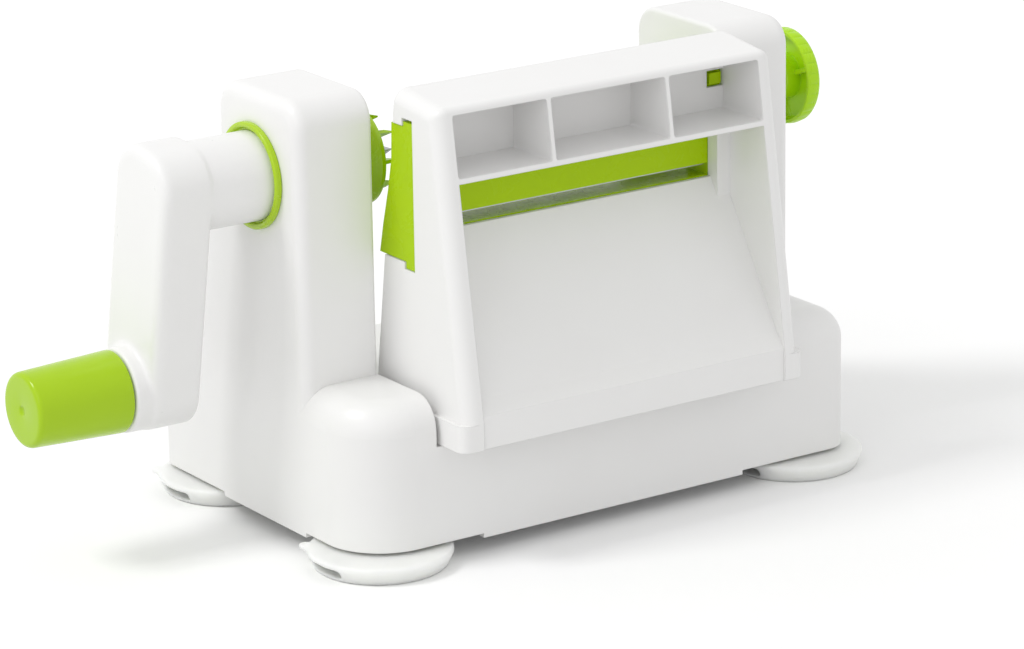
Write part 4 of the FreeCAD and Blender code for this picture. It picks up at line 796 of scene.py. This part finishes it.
# Ground stainless steel: fine lines along the blade stretch the reflections.
blade_steel = bpy.data.materials.new("stainless_ground")
blade_steel.use_nodes = True
tree = blade_steel.node_tree
tree.nodes.clear()
place = add(tree, "ShaderNodeTexCoord").outputs["Object"]
stretched = add(tree, "ShaderNodeMapping", {
    "Vector": place, "Scale": (1 / (SCRATCH_LENGTH * MM), 1 / (SCRATCH * MM), 1 / (SCRATCH * MM))})
lines = add(tree, "ShaderNodeTexNoise", {
    "Vector": stretched.outputs[0], "Scale": 1.0, "Detail": 4.0, "Roughness": 0.7})
tone = add(tree, "ShaderNodeMix", {
    0: lines.outputs[0], 6: linear(GROUND_STEEL), 7: linear(GROUND_SHADE)}, data_type="RGBA")
gloss = add(tree, "ShaderNodeMapRange", {0: lines.outputs[0], **NOISE_SPAN, **GROUND_GLOSS})
bump = add(tree, "ShaderNodeBump", {"Strength": 1.0, "Distance": SCRATCH_RELIEF * MM,
                                    "Height": lines.outputs[0]})
shader = add(tree, "ShaderNodeBsdfPrincipled", {
    "Base Color": tone.outputs[2], "Metallic": 1.0, "Roughness": gloss.outputs[0],
    "Normal": bump.outputs[0]})
add(tree, "ShaderNodeOutputMaterial", {"Surface": shader.outputs[0]})
dress("cutting_blade", blade_steel)

# Blade screws: three countersunk screws of the same plated steel with a cross recess.
# Their heads lie flush in the blade and they go up into the cassette's bar.
SINK_DEPTH = 1.5
SINK_EDGE = (0.15, 0.05)
SUNK_RECESS = (1.5, 0.36)
low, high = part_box("blade_screws")
sunk, point = low.z / MM, high.z / MM
sink_outline = [
    (sunk, 0.0), (sunk, SCREW_HEAD - SINK_EDGE[0]),
    (sunk + SINK_EDGE[0], SCREW_HEAD - SINK_EDGE[1]), (sunk + SINK_DEPTH, SCREW_SHANK),
    (point - SCREW_POINT, SCREW_SHANK), (point, 0.0)]
blade_screw = as_object("blade_screw", lathe(sink_outline, steps=SCREW_STEPS, along="z"))
carved(blade_screw, cross_recess(*SUNK_RECESS, sunk, RECESS_DEPTH))
middle = (low + high) / 2
blade_screws = laid_out("blade_screw_set", rows_of_screws, {
    "Centre": (middle.x, middle.y, 0.0), "Length": high.x - low.x - 2 * SCREW_HEAD * MM,
    "Width": 0.0, "Count": 3, "Rows": 1, "Seed": SEED + 1, "Material": zinc_steel}, blade_screw)
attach(blade_screws, "carriage")
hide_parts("blade_screws")

# Studio: a pale seamless floor that keeps the soft shadow, a soft key lamp high at the
# left and a weak broad one in front of it. Away from the object the floor that the
# camera sees gets paler, as a lit backdrop does.
FLOOR = "#FCFCFC"
FLOOR_BOUNCE = "#EAEAEA"
FLOOR_REACH = 6.0
GLOW_FROM = 0.15
GLOW_FULL = 0.55
GLOW_NEAR = 0.02
GLOW_FAR = 0.13
AMBIENT = 0.8
WHITE_LIGHT = (1, 1, 1, 1)
floor_mesh = bpy.data.meshes.new("floor")
floor_corners = [(FLOOR_REACH * x, FLOOR_REACH * y, 0)
                 for x, y in ((-1, -1), (1, -1), (1, 1), (-1, 1))]
floor_mesh.from_pydata(floor_corners, [], [(0, 1, 2, 3)])
floor = bpy.data.objects.new("floor", floor_mesh)
bpy.context.collection.objects.link(floor)


def seen_by_camera(tree):
    """1 for rays from the camera and those that mirrors and glass pass on, otherwise 0."""
    ray = add(tree, "ShaderNodeLightPath").outputs
    seen = add(tree, "ShaderNodeMath", {0: ray["Is Camera Ray"], 1: ray["Is Glossy Ray"]},
               operation="MAXIMUM")
    return add(tree, "ShaderNodeMath", {0: seen.outputs[0], 1: ray["Is Transmission Ray"]},
               operation="MAXIMUM").outputs[0]


floor_paint = bpy.data.materials.new("floor_paper")
floor_paint.use_nodes = True
tree = floor_paint.node_tree
tree.nodes.clear()
paper = add(tree, "ShaderNodeBsdfDiffuse", {"Color": linear(FLOOR)})
dim_paper = add(tree, "ShaderNodeBsdfDiffuse", {"Color": linear(FLOOR_BOUNCE)})
spot = add(tree, "ShaderNodeTexCoord").outputs["Object"]
distance = add(tree, "ShaderNodeVectorMath", {0: spot}, operation="LENGTH").outputs["Value"]
lift = add(tree, "ShaderNodeMapRange", {0: distance, 1: GLOW_FROM, 2: GLOW_FULL, 3: GLOW_NEAR,
                                        4: GLOW_FAR}, interpolation_type="SMOOTHSTEP")
glow = add(tree, "ShaderNodeEmission", {"Color": WHITE_LIGHT, "Strength": lift.outputs[0]})
lit = add(tree, "ShaderNodeAddShader", {0: paper.outputs[0], 1: glow.outputs[0]})
mixed = add(tree, "ShaderNodeMixShader", {0: seen_by_camera(tree), 1: dim_paper.outputs[0],
                                          2: lit.outputs[0]})
add(tree, "ShaderNodeOutputMaterial", {"Surface": mixed.outputs[0]})
floor_mesh.materials.append(floor_paint)

world = bpy.data.worlds.new("studio")
bpy.context.scene.world = world
world.use_nodes = True
tree = world.node_tree
tree.nodes.clear()
strength = add(tree, "ShaderNodeMapRange", {0: seen_by_camera(tree), 1: 0.0, 2: 1.0,
                                            3: AMBIENT, 4: 1.0})
air = add(tree, "ShaderNodeBackground", {"Color": WHITE_LIGHT, "Strength": strength.outputs[0]})
add(tree, "ShaderNodeOutputWorld", {"Surface": air.outputs[0]})


def lamp(name, place, target, size, power):
    """A rectangular area lamp that faces a point; size in metres, power in watts."""
    light = bpy.data.lights.new(name, "AREA")
    light.shape = "RECTANGLE"
    light.size, light.size_y = size
    light.energy = power
    obj = bpy.data.objects.new(name, light)
    obj.location = place
    obj.rotation_euler = (Vector(target) - Vector(place)).to_track_quat("-Z", "Y").to_euler()
    bpy.context.collection.objects.link(obj)


MIDDLE = (0, 0, 0.08)
lamp("key", place=(-1.36, 0.34, 1.94), target=MIDDLE, size=(0.6, 0.6), power=16)
lamp("left_fill", place=(-1.7, -0.9, 1.2), target=MIDDLE, size=(1.2, 1.2), power=3)

# Camera: a long lens at the photograph's angle, with a slight roll.
FRAME_WIDTH = 1024
FOCAL_PIXELS = 4600
SENSOR = 36
FURTHEST = 50
EYE = Vector((-0.8412, -1.2879, 0.5351))
LOOK = Vector((0.0324, 0.0013, 0.0557))
ROLL = math.radians(-0.9)
back = (EYE - LOOK).normalized()
right = Vector((0, 0, 1)).cross(back).normalized()
up = back.cross(right)
tilted_right = right * math.cos(ROLL) + up * math.sin(ROLL)
tilted_up = up * math.cos(ROLL) - right * math.sin(ROLL)
lens = bpy.data.cameras.new("camera")
lens.sensor_width = SENSOR
lens.lens = FOCAL_PIXELS / FRAME_WIDTH * SENSOR
lens.clip_end = FURTHEST
camera = bpy.data.objects.new("camera", lens)
camera.matrix_world = Matrix.Translation(EYE) @ Matrix(
    (tilted_right, tilted_up, back)).transposed().to_4x4()
bpy.context.collection.objects.link(camera)
bpy.context.scene.camera = camera
bpy.context.scene.view_settings.view_transform = "Standard"
